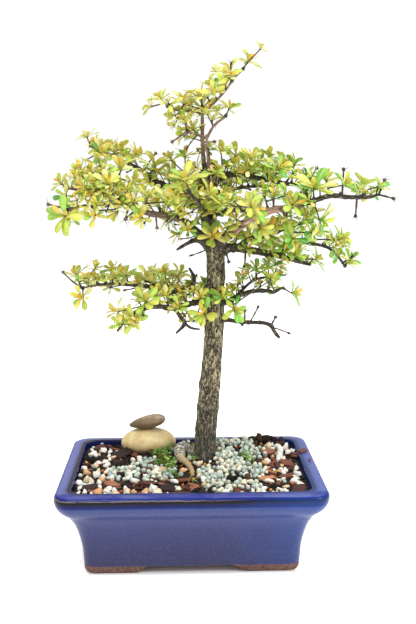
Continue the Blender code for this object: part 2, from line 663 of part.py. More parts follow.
def rosette_axis(centre, root):
    """A rosette looks along its stem, and upwards and a little away from the trunk."""
    outward = Vector((centre.x - TRUNK_MIDDLE[0], centre.y - TRUNK_MIDDLE[1], 0)).normalized()
    along = (centre - root).normalized()
    return (along + Vector((0, 0, 0.7)) + outward * 0.3).normalized()


def stem_and_bud(start, centre, out, axis):
    """A thin stem that ends in a bud with four side faces, and the rings of corners below and above them."""
    along = (centre - start).normalized()
    half_bud = axis * BUD_HEIGHT / 2 * MM
    shape = bmesh.new()
    rings = []
    for place, facing, radius in ((start, along, STEM_RADIUS), (centre - half_bud, axis, BUD_RADIUS),
                                  (centre + half_bud, axis, BUD_RADIUS)):
        across = (out - facing * out.dot(facing)).normalized()
        beside = facing.cross(across)
        offsets = (across - beside, across + beside, beside - across, -across - beside)
        rings.append([shape.verts.new(place + offset / math.sqrt(2) * radius * MM) for offset in offsets])
    shape.faces.new(reversed(rings[0]))
    bridge(shape, rings[0], rings[1])
    shape.faces.new(rings[2])
    return shape, rings[1], rings[2]


def add_leaves(shape, lower, upper, centre, axis, out, size, rng, crowd, owner):
    """Draws a leaf out of each side face of a bud where there is room, and closes the other faces."""
    count = 4 if size > FULL_ROSETTE else 3
    for index in range(4):
        after = (index + 1) % 4
        base = [lower[index], lower[after], upper[after], upper[index]]
        facing = Matrix.Rotation(index * math.pi / 2, 3, axis) @ out
        drawn = index < count and place_leaf(shape, base, centre, axis, facing, size, rng, crowd, owner)
        if not drawn:
            shape.faces.new(base)


def place_leaf(shape, base, centre, axis, facing, size, rng, crowd, owner):
    """Turns, raises or shortens one leaf until it clears what stands there."""
    turn = rng.uniform(-0.3, 0.3)
    lift = rng.uniform(0.1, 0.85)
    scale = size * rng.uniform(0.88, 1.12)
    for attempt in range(LEAF_TRIES):
        swing = turn + 0.16 * (attempt % 3 - 1) if attempt else turn
        out = Matrix.Rotation(swing, 3, axis) @ facing
        frame = leaf_frame(centre, axis, out, (lift + 0.21 * attempt) % 1.15)
        length = scale * (1 - 0.025 * attempt)
        near = loose_leaf(frame, length, LEAF_CLEARANCE)
        outer = loose_leaf(frame, length, 0, skip_base=True)
        hit = crowd.meets(near, (owner,)) or crowd.meets(outer)
        near.free()
        if not hit:
            whole = loose_leaf(frame, length)
            crowd.add(whole, owner)
            whole.free()
            draw_leaf(shape, base, *leaf_rings(frame, length, 0, skip_base=True))
        outer.free()
        if not hit:
            return True
    print(owner, "lacks a leaf beside", hit)
    return False


def shoot_frames(limb, rosettes):
    """Where a leafy shoot leaves its limb: the root on the limb's middle line, the end of the spur, and the
    start of the stem a hair beyond it."""
    centre = millimetres(rosettes[0])
    root, radius = nearest_on_route(limb, centre)
    along = (centre - root).normalized()
    spur_end = root + along * (radius + SPUR_REACH * MM)
    return root, spur_end, spur_end + along * GAP


def named_shoots():
    """Each leafy shoot with its own name, numbered along the limb that carries it."""
    counts = {}
    for limb, rosettes in SHOOTS:
        counts[limb] = counts.get(limb, 0) + 1
        yield f"shoot_{limb}_{counts[limb]}", limb, rosettes


def make_wood(bark, crowd):
    """The trunk, its surface root, limbs, bare twigs and the spurs that the leafy shoots grow from."""
    rng = random.Random("twigs")
    pieces = []
    for name in ROUTES:
        limb = route_tube(name)
        crowd.add(limb, name)
        pieces.append(limb)
    for limb, tip in BARE_TWIGS:
        for piece in bare_twig(limb, tip, rng):
            crowd.add(piece, "bare_twigs")
            pieces.append(piece)
    for name, limb, rosettes in named_shoots():
        root, spur_end, _ = shoot_frames(limb, rosettes)
        spur = tube([root, spur_end], [SPUR_RADII[0] * MM, SPUR_RADII[1] * MM], SPUR_SIDES)
        crowd.add(spur, name)
        pieces.append(spur)
    parts = [add_object("wood_piece", piece, bark) for piece in pieces]
    wood = combine(parts[0], parts[1:], "UNION")
    wood.name = "trunk"
    wood.data.shade_smooth()
    wood.data.set_sharp_from_angle(angle=math.radians(60))
    return wood


def bare_shoot(name, limb, rosettes, rng, crowd):
    """The stems and buds of a leafy shoot: a stem to its first rosette, a side stem to each further one."""
    _, _, start = shoot_frames(limb, rosettes)
    fork = start.lerp(millimetres(rosettes[0]), FORK_SHARE)
    stems = []
    for index, place in enumerate(rosettes):
        centre = millimetres(place)
        stem_start = fork if index else start
        axis = rosette_axis(centre, stem_start)
        out = Matrix.Rotation(rng.uniform(0, math.tau), 3, axis) @ axis.orthogonal().normalized()
        shape, lower, upper = stem_and_bud(stem_start, centre, out, axis)
        hit = crowd.meets(shape, (name,))
        if hit:
            print(name, "stem", index, "crosses", hit)
        crowd.add(shape, name)
        stems.append((shape, lower, upper, centre, axis, out, place[3]))
    return stems


def make_shoots(green, crowd):
    """All the leafy shoots. Every stem stands before the first leaf opens, so leaves keep clear of them."""
    planned = []
    for name, limb, rosettes in named_shoots():
        rng = random.Random(name)
        planned.append((name, rng, bare_shoot(name, limb, rosettes, rng, crowd)))
    made = []
    for name, rng, stems in planned:
        for stem in stems:
            add_leaves(*stem, rng, crowd, name)
        parts = [add_object("shoot_piece", stem[0], green) for stem in stems]
        if len(parts) > 1:
            combine(parts[0], parts[1:], "UNION")
        parts[0].name = name
        made.append(parts[0])
    return made


def stone(name, size, place, tilt, finish, bumps, taper=0.0):
    """A water-worn pebble: a ball drawn out, a little uneven, thicker to the right by its taper."""
    shape = bmesh.new()
    bmesh.ops.create_uvsphere(shape, u_segments=14, v_segments=9, radius=0.5)
    for vertex in shape.verts:
        x, y, z = vertex.co
        uneven = bumps * (math.sin(5 * x + 2 * z) + math.cos(6 * y - 3 * x))
        thick = 1 + 2 * taper * x
        vertex.co = Vector((x * size[0], y * size[1] * thick, z * size[2] * thick)) * (1 + uneven) * MM
    bmesh.ops.rotate(shape, cent=(0, 0, 0), matrix=Matrix.Rotation(tilt, 3, "Y"), verts=shape.verts)
    bmesh.ops.translate(shape, vec=place, verts=shape.verts)
    made = add_object(name, shape, finish)
    made.data.shade_smooth()
    return made


def tree_of(thing):
    shape = bmesh.new()
    shape.from_mesh(thing.data)
    tree = BVHTree.FromBMesh(shape)
    shape.free()
    return tree


def settle(upper, lower):
    """Lowers one stone until it lies a hair above the other."""
    rest = tree_of(lower)
    for _ in range(SETTLE_STEPS):
        near = min(rest.find_nearest(vertex.co)[3] for vertex in upper.data.vertices)
        if near < GAP + SETTLE_STEP or tree_of(upper).overlap(rest):
            break
        for vertex in upper.data.vertices:
            vertex.co.z -= SETTLE_STEP


def swollen(thing, grow):
    """A copy of an object with every point moved out, to cut its bed."""
    shape = bmesh.new()
    shape.from_mesh(thing.data)
    shape.normal_update()
    for vertex in shape.verts:
        vertex.co += vertex.normal * grow
    return add_object("bed_cutter", shape)


def moss_ring(shape, spread, rise, level, grow=0.0):
    """One outline of the moss, wavy all round, its points raised unevenly."""
    ring = []
    for side in range(MOSS_SIDES):
        angle = math.tau * side / MOSS_SIDES
        hump = 1 + 0.14 * math.sin(5 * angle) + 0.08 * math.sin(3 * angle + level)
        x = MOSS_PLACE[0] + (MOSS_SIZE[0] * spread * hump + grow) * math.cos(angle)
        y = MOSS_PLACE[1] + (MOSS_SIZE[1] * spread * hump + grow) * math.sin(angle)
        height = MOSS_FLOOR + MOSS_SIZE[2] * rise * (0.86 + 0.3 * math.sin(7 * angle + 2.3 * level) ** 2)
        ring.append(shape.verts.new((x * MM, y * MM, height * MM)))
    return ring


def make_moss(green):
    """A low cushion of moss, its top raised in small humps."""
    shape = bmesh.new()
    levels = ((1, 0), (1, 0.3), (0.82, 0.68), (0.5, 0.92), (0.2, 1))
    rings = [moss_ring(shape, spread, rise, max(level, 1)) for level, (spread, rise) in enumerate(levels)]
    return add_object("moss_cushion", closed_rings(shape, rings), green)


def moss_bed():
    """A flat bed for the moss, a hair lower than it and a little wider."""
    shape = bmesh.new()
    rings = [moss_ring(shape, 1, 0, 1, SOCKET_PLAY), moss_ring(shape, 1, 0, 1, SOCKET_PLAY)]
    for ring, height in zip(rings, (MOSS_FLOOR * MM - GAP, MOUTH_CLEAR * MM)):
        for point in ring:
            point.co.z = height
    return closed_rings(shape, rings)


def make_soil(earth, beds):
    """The filled pot's soil, with plain holes for trunk and root, and a bed under whatever lies on it."""
    rng = random.Random("soil")
    soil = add_object("soil", soil_body(), earth)
    combine(soil, [add_object("lump", lump) for lump in [soil_relief(rng)] + soil_lumps(rng)], "UNION")
    combine(soil, beds, "DIFFERENCE")
    return soil


def make_beds(stones):
    beds = [add_object("trunk_bed", route_tube("trunk", SOCKET_PLAY, 0, 5)),
            add_object("root_bed", route_tube("surface_root", SOCKET_PLAY))]
    for foot in (ROUTES["trunk"][0], ROUTES["surface_root"][-1]):
        radius = (foot[3] + 2 * SOCKET_PLAY) * MM
        hole = cylinder(millimetres(foot)[:2], radius, (foot[2] - SOCKET_PLAY) * MM,
                        (foot[2] + FOOT_BED_HEIGHT) * MM, 2 * THICK_SIDES)
        beds.append(add_object("foot_bed", hole))
    beds += [swollen(thing, SOCKET_PLAY * MM) for thing in stones]
    beds.append(add_object("moss_bed", moss_bed()))
    for place in DRAIN_PLACES:
        size = SCREEN_SIZE + 2 * SOCKET_PLAY * MM
        floor = CAVITY_PROFILE[0][1] * MM
        centre = (place * MM, 0, floor + 0.5 * MM)
        beds.append(add_object("screen_bed", box(centre, (size, size, 3 * MM))))
    return beds


def centre_on_origin(things):
    """Hangs everything on one empty and moves that, so that the object's box stands on the origin."""
    low = Vector((1e9, 1e9, 0))
    high = Vector((-1e9, -1e9, 0))
    for thing in things:
        for vertex in thing.data.vertices:
            for axis in (0, 1):
                low[axis] = min(low[axis], vertex.co[axis])
                high[axis] = max(high[axis], vertex.co[axis])
    holder = bpy.data.objects.new("bonsai", None)
    bpy.context.scene.collection.objects.link(holder)
    holder.location = -(low + high) / 2
    for thing in things:
        thing.parent = holder
    print("moved by", [round(value / MM, 2) for value in holder.location])


def build():
    for thing in list(bpy.data.objects):
        bpy.data.objects.remove(thing, do_unlink=True)
    crowd = Crowd()
    clay = material("glazed_clay", (0.055, 0.075, 0.36), 0.25)
    earth = material("potting_soil", (0.09, 0.06, 0.045), 0.95)
    plastic = material("screen_plastic", (0.03, 0.03, 0.03), 0.5)
    bark = material("bark", (0.17, 0.14, 0.11), 0.9)
    green = material("leaf", (0.38, 0.46, 0.08), 0.5)
    moss_green = material("moss", (0.2, 0.33, 0.05), 0.95)
    pale = material("pale_stone", (0.72, 0.62, 0.4), 0.6)
    brown = material("brown_stone", (0.33, 0.25, 0.18), 0.65)

    things = [make_pot(clay)]
    things += [make_screen(name, place, plastic)
               for name, place in zip(("drain_screen_left", "drain_screen_right"), DRAIN_PLACES)]
    lower = stone("lower_stone", LOWER_STONE_SIZE, millimetres(LOWER_STONE_PLACE), 0, pale, 0.008)
    start = millimetres(UPPER_STONE_PLACE)
    upper = stone("upper_stone", UPPER_STONE_SIZE, start, UPPER_STONE_TILT, brown, 0.01, UPPER_STONE_TAPER)
    settle(upper, lower)
    moss = make_moss(moss_green)
    things += [lower, upper, moss, make_soil(earth, make_beds([lower]))]
    things.append(make_wood(bark, crowd))
    things += make_shoots(green, crowd)
    centre_on_origin(things)
    for thing in things:
        thing.data.calc_loop_triangles()
    print(len(things), "pieces,", sum(len(thing.data.loop_triangles) for thing in things), "triangles")


build()
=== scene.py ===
# %% [markdown]
# A black olive bonsai in a glazed pot: the looks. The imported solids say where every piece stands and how
# large it is. Each cell below makes one kind of piece as the real one is made or grows, a finer form on the
# same place, and gives it a surface. Tables are in millimetres from the middle of the pot, on the table: +X
# right, +Y away from the viewer.

# %% The frame that everything is fitted to
import math
import random

import bmesh
import bpy
from mathutils import Matrix, Vector, noise
from mathutils.bvhtree import BVHTree
from mathutils.kdtree import KDTree


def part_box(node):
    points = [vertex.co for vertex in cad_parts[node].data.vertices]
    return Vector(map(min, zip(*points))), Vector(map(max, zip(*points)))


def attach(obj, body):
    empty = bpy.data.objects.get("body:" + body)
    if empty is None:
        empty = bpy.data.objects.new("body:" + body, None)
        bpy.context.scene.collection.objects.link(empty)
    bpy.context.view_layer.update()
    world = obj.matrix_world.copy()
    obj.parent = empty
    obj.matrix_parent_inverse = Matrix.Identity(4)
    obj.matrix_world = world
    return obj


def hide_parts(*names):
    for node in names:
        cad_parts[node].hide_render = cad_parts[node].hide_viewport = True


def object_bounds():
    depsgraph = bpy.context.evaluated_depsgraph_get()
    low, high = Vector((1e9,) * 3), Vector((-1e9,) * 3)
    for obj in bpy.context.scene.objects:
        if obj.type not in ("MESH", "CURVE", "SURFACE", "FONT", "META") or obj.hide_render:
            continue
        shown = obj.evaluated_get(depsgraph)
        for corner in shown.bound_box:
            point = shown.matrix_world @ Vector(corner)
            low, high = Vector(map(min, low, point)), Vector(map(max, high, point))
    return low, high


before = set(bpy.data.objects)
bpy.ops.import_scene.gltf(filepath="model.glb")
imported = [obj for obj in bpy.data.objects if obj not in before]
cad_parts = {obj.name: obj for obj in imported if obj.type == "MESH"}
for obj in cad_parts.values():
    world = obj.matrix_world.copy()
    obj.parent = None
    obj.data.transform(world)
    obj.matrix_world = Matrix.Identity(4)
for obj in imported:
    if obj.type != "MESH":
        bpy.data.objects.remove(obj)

MM = 0.001
scene = bpy.context.scene
cad_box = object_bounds()
pot_low, pot_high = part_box("pot")
POT_MIDDLE = Vector(((pot_low[0] + pot_high[0]) / 2, (pot_low[1] + pot_high[1]) / 2, 0))
BOX_LOW = (Vector(cad_box[0]) - POT_MIDDLE) / MM
BOX_HIGH = (Vector(cad_box[1]) - POT_MIDDLE) / MM
print("the pot's middle is at", tuple(POT_MIDDLE), "and the box, in mm from it, is", BOX_LOW, BOX_HIGH)

# %% [markdown]
# A finished shape is a bmesh in millimetres. show() makes it a mesh, moves it to its place in the frame,
# hangs it on the frame's root, gives it its finishes and hides the solid that it stands for. Small things
# that repeat, such as leaves and grains, are cast once as a small mesh and stamped into one heap, each at its
# own place and with its own tint. A heap is a plain mesh, so a thousand repeats stay one piece.


# %% Showing a piece, and stamping repeats
def show(name, shape, finishes, stands_for=()):
    mesh = bpy.data.meshes.new(name)
    shape.to_mesh(mesh)
    shape.free()
    mesh.transform(Matrix.Translation(POT_MIDDLE) @ Matrix.Scale(MM, 4))
    mesh.shade_smooth()
    piece = bpy.data.objects.new(name, mesh)
    scene.collection.objects.link(piece)
    for finish in finishes:
        mesh.materials.append(finish.material)
    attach(piece, "root")
    if stands_for:
        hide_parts(*stands_for)
    mesh.calc_loop_triangles()
    print(name, len(mesh.loop_triangles), "triangles")


def new_shape():
    """An empty bmesh whose points can carry a tint, and a grain that a finish follows."""
    shape = bmesh.new()
    shape.loops.layers.uv.new("surface")
    shape.verts.layers.float_vector.new("tint")
    shape.verts.layers.float_vector.new("grain")
    return shape


def cast_of(shape, slot=0):
    """A small mesh to stamp, made from a bmesh that is used up."""
    cast = bpy.data.meshes.new("cast")
    for face in shape.faces:
        face.material_index = slot
    shape.to_mesh(cast)
    shape.free()
    return cast


def stamp(heap, cast, place, tint):
    """Adds one cast to a heap, with the same tint on all its points."""
    copy = cast.copy()
    copy.transform(place)
    copy.attributes["tint"].data.foreach_set("vector", tuple(tint) * len(copy.vertices))
    heap.from_mesh(copy)
    bpy.data.meshes.remove(copy)


def add_shape(heap, shape, slot=0):
    """Moves all of one bmesh into another."""
    cast = cast_of(shape, slot)
    heap.from_mesh(cast)
    bpy.data.meshes.remove(cast)


# %% [markdown]
# Most pieces start as a loop of edges that is extruded from ring to ring, as a lathe or an extruder would
# make them. sweep() does that for any rings with the same number of points, and closes both ends.


# %% Extruding through rings
def close_up(shape):
    """Fills what is open at the ends and turns every face outwards."""
    bmesh.ops.holes_fill(shape, edges=[edge for edge in shape.edges if edge.is_boundary], sides=0)
    bmesh.ops.recalc_face_normals(shape, faces=shape.faces)
    return shape


def extrude_loop(shape, edges):
    """Extrudes a loop of edges, and returns the points and the edges of the new loop."""
    grown = bmesh.ops.extrude_edge_only(shape, edges=edges)["geom"]
    fresh = [element for element in grown if isinstance(element, bmesh.types.BMVert)]
    made = set(fresh)
    edges = [element for element in grown if isinstance(element, bmesh.types.BMEdge)
             and element.verts[0] in made and element.verts[1] in made]
    return fresh, edges


def sweep(rings, grain=None):
    """A closed skin through rings of points. grain gives each ring's points what the finish follows."""
    shape = new_shape()
    turn = shape.verts.layers.int.new("turn")
    along = shape.verts.layers.float_vector["grain"]
    bmesh.ops.create_circle(shape, cap_ends=False, segments=len(rings[0]), radius=1)
    fresh = list(shape.verts)
    edges = list(shape.edges)
    for index, point in enumerate(fresh):
        point[turn] = index
    for row, ring in enumerate(rings):
        if row:
            fresh, edges = extrude_loop(shape, edges)
        for point in fresh:
            point.co = ring[point[turn]]
            if grain:
                point[along] = grain[row][point[turn]]
    shape.verts.layers.int.remove(turn)
    return close_up(shape)


print("shape helpers ready")

# %% [markdown]
# Every colour below is worked out from the piece's own coordinates or from what its points carry, so it stays
# on the piece from every side. A Field is one output of a node. Its plus, minus, times and divide signs add a
# Math node, so that a finish reads like a sum. Colours are written as three numbers from 0 to 255, and become
# the shader's light where they are wired in.


# %% Fields: values that change over a surface
class Field:
    """An output of a node in a material, which can be calculated with."""

    def __init__(self, tree, socket):
        self.tree = tree
        self.socket = socket

    def __add__(self, other):
        return calc("ADD", self, other)

    def __sub__(self, other):
        return calc("SUBTRACT", self, other)

    def __rsub__(self, other):
        return calc("SUBTRACT", other, self)

    def __mul__(self, other):
        return calc("MULTIPLY", self, other)

    def __truediv__(self, other):
        return calc("DIVIDE", self, other)

    def __abs__(self):
        return calc("ABSOLUTE", self)


def light_of(colour):
    """A colour of 0 to 255 as the light that a shader needs."""
    parts = [value / 255 for value in colour]
    return (*(part / 12.92 if part < 0.04045 else ((part + 0.055) / 1.055) ** 2.4 for part in parts), 1)


def wire(socket, value):
    """Feeds a node's input with a field, a colour or a plain number."""
    if isinstance(value, Field):
        value.tree.links.new(value.socket, socket)
    else:
        socket.default_value = light_of(value) if isinstance(value, tuple) else value


def node(tree, kind, inputs=None, **settings):
    made = tree.nodes.new(kind)
    for key, value in settings.items():
        setattr(made, key, value)
    for name, value in (inputs or {}).items():
        wire(made.inputs[name], value)
    return made


def field(tree, output, *kind_and_inputs, **settings):
    """One output of a new node."""
    return Field(tree, node(tree, *kind_and_inputs, **settings).outputs[output])


def tree_of(values):
    return next(value.tree for value in values if isinstance(value, Field))


def calc(operation, *values):
    tree = tree_of(values)
    made = node(tree, "ShaderNodeMath", operation=operation)
    for socket, value in zip(made.inputs, values):
        wire(socket, value)
    return Field(tree, made.outputs["Value"])


print("fields can be calculated with")

# %% [markdown]
# A few kinds of node make all the patterns: a cloud of noise, a soft step, a ramp of colours and a blend of
# two. The group called mottle mixes two colours by a cloud of a given size and gives the height that goes
# with it: clay, paper, soil and plastic differ only in their values.


# %% Patterns
def cloud(where, size_mm, detail=3.0, roughness=0.55):
    inputs = {"Vector": where, "Scale": 1 / (size_mm * MM), "Detail": detail, "Roughness": roughness}
    return field(where.tree, "Fac", "ShaderNodeTexNoise", inputs)


def band(value, low, high):
    """0 below low, 1 above high, smooth between."""
    inputs = {"Value": value, "From Min": low, "From Max": high}
    return field(value.tree, "Result", "ShaderNodeMapRange", inputs, interpolation_type="SMOOTHSTEP")


def ramp(factor, stops):
    made = node(factor.tree, "ShaderNodeValToRGB", {"Fac": factor})
    elements = made.color_ramp.elements
    while len(elements) < len(stops):
        elements.new(0.5)
    for element, (place, colour) in zip(elements, stops):
        element.position = place
        element.color = light_of(colour)
    return Field(factor.tree, made.outputs["Color"])


def blend(factor, first, second, way="MIX"):
    tree = tree_of((factor, first, second))
    made = node(tree, "ShaderNodeMix", data_type="RGBA", blend_type=way)
    for index, value in ((0, factor), (6, first), (7, second)):
        wire(made.inputs[index], value)
    return Field(tree, made.outputs[2])


def shade(colour, amount, share):
    """Darkens or lightens a colour by an amount of 0 to 1, by a share of itself at most."""
    level = amount * (2 * share) + (1 - share)
    parts = {"Red": level, "Green": level, "Blue": level}
    grey = field(colour.tree, "Color", "ShaderNodeCombineColor", parts)
    return blend(1.0, colour, grey, "MULTIPLY")


def split(vector):
    made = node(vector.tree, "ShaderNodeSeparateXYZ", {"Vector": vector})
    return [Field(vector.tree, made.outputs[name]) for name in ("X", "Y", "Z")]


def make_mottle():
    group = bpy.data.node_groups.new("mottle", "ShaderNodeTree")
    for name, kind in (("Place", "NodeSocketVector"), ("Fineness", "NodeSocketFloat"),
                       ("Dark", "NodeSocketColor"), ("Light", "NodeSocketColor")):
        group.interface.new_socket(name, in_out="INPUT", socket_type=kind)
    for name, kind in (("Colour", "NodeSocketColor"), ("Height", "NodeSocketFloat")):
        group.interface.new_socket(name, in_out="OUTPUT", socket_type=kind)
    sockets = node(group, "NodeGroupInput").outputs
    given = {name: Field(group, sockets[name]) for name in ("Place", "Fineness", "Dark", "Light")}
    inputs = {"Vector": given["Place"], "Scale": given["Fineness"], "Detail": 5.0, "Roughness": 0.6}
    height = field(group, "Fac", "ShaderNodeTexNoise", inputs)
    colour = blend(band(height, 0.36, 0.64), given["Dark"], given["Light"])
    node(group, "NodeGroupOutput", {"Colour": colour, "Height": height})
    return group


MOTTLE = make_mottle()


def mottle(where, size_mm, dark, light):
    """Two colours mixed by a cloud, and its height."""
    inputs = {"Place": where, "Fineness": 1 / (size_mm * MM), "Dark": dark, "Light": light}
    made = node(where.tree, "ShaderNodeGroup", inputs, node_tree=MOTTLE)
    return Field(where.tree, made.outputs["Colour"]), Field(where.tree, made.outputs["Height"])


print("the patterns share", len(bpy.data.node_groups), "node group")

# %% [markdown]
# A Finish is a material while it is made. It knows where a point lies on its piece, what the points carry,
# and how deep a bump is in millimetres. Each finish below starts from its roughness, and is then fed with
# colours and heights.


# %% A finish
class Finish:
    """A material while it is made: the coordinates of its piece, and the shader that its patterns feed."""

    def __init__(self, name, roughness):
        self.material = bpy.data.materials.new(name)
        self.material.use_nodes = True
        self.tree = self.material.node_tree
        self.shader = self.tree.nodes["Principled BSDF"]
        self.place = field(self.tree, "Object", "ShaderNodeTexCoord")
        self.feed("Roughness", roughness)

    def feed(self, name, value):
        wire(self.shader.inputs[name], value)

    def carried(self, name):
        """What the points carry under a name."""
        return field(self.tree, "Vector", "ShaderNodeAttribute", attribute_name=name)

    def bump(self, height, depth_mm):
        inputs = {"Height": height, "Distance": depth_mm * MM}
        self.feed("Normal", field(self.tree, "Normal", "ShaderNodeBump", inputs))


print("finishes can be made")

# %% [markdown]
# The camera stands where the photographer stood: a long lens a little above the rim, looking down by about
# ten degrees. It comes first, so that every later piece can be judged from it. Three large soft lamps stand
# in a white tent, as for a product picture. The tent lights the tree less strongly than the camera sees it,
# so that the picture's ground is plain white and the leaves keep their colour.

# %% Camera, lamps and tent
LENS = 48.11
CAMERA_PLACE = Vector((-9.64, -659.37, 307.11))
CAMERA_DOWN = 0.1668
CAMERA_TURN = -0.0356
CAMERA_ROLL = 0.0011
TENT_GLOW = 0.6  # how strongly the tent lights the scene
TENT_SEEN = 1.05  # how bright it is behind the tree
LAMPS = (  # name, place, the point it shines at, width and power
    ("key_lamp", (-0.45, -0.55, 1.7), (0, 0, 0.2), 0.7, 14),
    ("fill_lamp", (1.1, -0.75, 1.2), (0, 0, 0.3), 0.7, 13),
    ("back_lamp", (0.3, 0.9, 1.4), (0, 0, 0.25), 0.8, 8),
)

eye = bpy.data.objects.new("camera", bpy.data.cameras.new("camera"))
eye.data.lens = LENS
eye.data.sensor_width = 36
eye.data.clip_start = 0.01
eye.location = CAMERA_PLACE * MM + POT_MIDDLE
turn = Matrix.Rotation(CAMERA_TURN, 4, "Z") @ Matrix.Rotation(math.pi / 2 - CAMERA_DOWN, 4, "X")
eye.rotation_euler = (turn @ Matrix.Rotation(CAMERA_ROLL, 4, "Z")).to_euler()
scene.collection.objects.link(eye)
scene.camera = eye
scene.view_settings.view_transform = "Standard"

for name, place, aim, width, power in LAMPS:
    lamp = bpy.data.lights.new(name, "AREA")
    lamp.size = width
    lamp.energy = power
    stand = bpy.data.objects.new(name, lamp)
    stand.location = place
    stand.rotation_euler = (Vector(aim) - Vector(place)).to_track_quat("-Z", "Y").to_euler()
    scene.collection.objects.link(stand)

tent = bpy.data.worlds.new("light_tent")
tent.use_nodes = True
behind = tent.node_tree.nodes["Background"]
behind.inputs["Color"].default_value = (1, 1, 1, 1)
seen = field(tent.node_tree, "Is Camera Ray", "ShaderNodeLightPath")
wire(behind.inputs["Strength"], seen * (TENT_SEEN - TENT_GLOW) + TENT_GLOW)
scene.world = tent
print("the camera looks from", tuple(eye.location))

# %% [markdown]
# The floor is white paper with a painted glow of its own. The glow lifts the lamps' shadows to white, and
# fades out under the pot, inside a rectangle a little smaller than its feet. So a painted soft shade lies
# under the pot and its gaps, and nowhere beside it.

# %% Floor
FLOOR_HALF = 4
SHADE_HALF_WIDTH = 0.0822
SHADE_HALF_DEPTH = 0.0575
PAPER_FADE = (-0.004, 0.003)
PAPER_GLOW = 0.55

paper = Finish("white_paper", 0.9)
colour, _ = mottle(paper.place, 400, (248, 248, 248), (252, 252, 252))
paper.feed("Base Color", colour)
paper.feed("Emission Color", (255, 255, 255))
over, ahead, _ = split(paper.place)
past_side = abs(over - POT_MIDDLE.x) - SHADE_HALF_WIDTH
past_front = abs(ahead - POT_MIDDLE.y) - SHADE_HALF_DEPTH
# painted light: the paper glows everywhere except under the pot, where its fade leaves painted shade
paper.feed("Emission Strength", band(calc("MAXIMUM", past_side, past_front), *PAPER_FADE) * PAPER_GLOW)

sheet = bmesh.new()
bmesh.ops.create_grid(sheet, x_segments=8, y_segments=8, size=FLOOR_HALF)
floor_mesh = bpy.data.meshes.new("floor")
sheet.to_mesh(floor_mesh)
sheet.free()
floor_mesh.materials.append(paper.material)
floor = bpy.data.objects.new("floor", floor_mesh)
scene.collection.objects.link(floor)
print("the floor is", 2 * FLOOR_HALF, "m wide")

# %% [markdown]
# The pot. A real one is pressed into a mould, dried, glazed outside and over the rim, and fired on its bare
# feet. It could be lathed only if it were round, so a rounded rectangle is drawn up through its sections
# instead: out to the rim, over it and down inside. The gaps between the feet, the pocket under the floor and
# the drain holes are cut afterwards, as a potter cuts them.

# %% The pot's sections
POT_WIDTH = 208.4
POT_DEPTH = 149
POT_CORNER = 13
CORNER_STEPS = 9
OUTER_PROFILE = (  # how far inside the outline, and height
    (21.6, 0), (20.9, 0.5), (20.3, 1.7), (20, 3.5), (19.8, 6), (19.4, 12), (18.8, 20), (16.9, 30), (13.9, 40),
    (9.6, 48), (6.3, 51.4), (3.7, 54.2), (1.7, 57.4), (0.55, 60.6), (0.05, 63.6), (0, 65.2), (0.2, 66.5),
    (0.8, 67.5), (1.9, 68.2), (3.6, 68.55), (7.5, 68.8), (10.9, 69), (11.7, 68.8), (12, 68.2))
INNER_PROFILE = ((12, 64), (13.2, 58.5), (16.5, 52), (21, 43), (24.8, 30), (27, 15), (28, 12.6), (30, 12))
SOFT_FROM = 3  # below this point of the profile the foot's edge stays crisp
OUTER_STEP = 1.2
INNER_STEP = 4


def rounded_rectangle(inset, height):
    """Points round the pot at a distance inside its outline, anticlockwise from above."""
    half_x = POT_WIDTH / 2 - inset
    half_y = POT_DEPTH / 2 - inset
    radius = POT_CORNER - 0.2 * inset
    points = []
    for corner, (side_x, side_y) in enumerate(((1, 1), (-1, 1), (-1, -1), (1, -1))):
        middle = Vector((side_x * (half_x - radius), side_y * (half_y - radius), height))
        for step in range(CORNER_STEPS + 1):
            angle = math.pi / 2 * (corner + step / CORNER_STEPS)
            points.append(middle + Vector((math.cos(angle), math.sin(angle), 0)) * radius)
    return points


def smooth_line(route, step):
    """Points about every step along a smooth curve through a route, whose points may have a radius too."""
    route = [Vector(point) for point in route]
    ends = [route[0] * 2 - route[1]] + route + [route[-1] * 2 - route[-2]]
    line = []
    for a, b, c, d in zip(ends, ends[1:], ends[2:], ends[3:]):
        pieces = max(1, round((c - b).length / step))
        for index in range(pieces):
            t = index / pieces
            bend = (c - a) * t + (2 * a - 5 * b + 4 * c - d) * t**2 + (3 * b - a - 3 * c + d) * t**3
            line.append(b + bend / 2)
    line.append(ends[-2])
    return line


foot_edge = [Vector((*point, 0)) for point in OUTER_PROFILE[:SOFT_FROM]]
wall = smooth_line([(*point, 0) for point in OUTER_PROFILE[SOFT_FROM:]], OUTER_STEP)
inside = smooth_line([(*point, 0) for point in INNER_PROFILE], INNER_STEP)
profile = foot_edge + wall + inside
crest = min(range(len(profile)), key=lambda index: profile[index].x)
reached = [0.0]
for start, end in zip(profile, profile[1:]):
    reached.append(reached[-1] + (end - start).length)
from_crest = [far - reached[crest] for far in reached]
rings = [rounded_rectangle(max(point.x, 0), point.y) for point in profile]
pot_shape = sweep(rings, [[Vector((far, 0, 0))] * len(rings[0]) for far in from_crest])
print("the pot has", len(profile), "sections, from", from_crest[0], "to", from_crest[-1], "mm from the crest")

# %% [markdown]
# The cuts. Each cutter is a block with its upper edges bevelled, so that a foot's shoulder is round as after
# fettling. A Boolean modifier takes them all away at once and is then applied.

# %% Cutting the gaps between the feet, the pocket and the drain holes
GAP_TOP = 6
GAP_EDGE = 2.4  # how far the gaps' upper edges are rounded
FRONT_GAP = (-35, 32)
FRONT_LEANS = (10, 15)  # how far its two ends lean out to the table
SIDE_GAP = (-27, 27)
SIDE_LEANS = (11, 11)
POCKET_INSET = 32
POCKET_TOP = 5.9
DRAIN_PLACES = (-45, 45)
DRAIN_RADIUS = 7
THROUGH = 130  # far enough to pass both walls


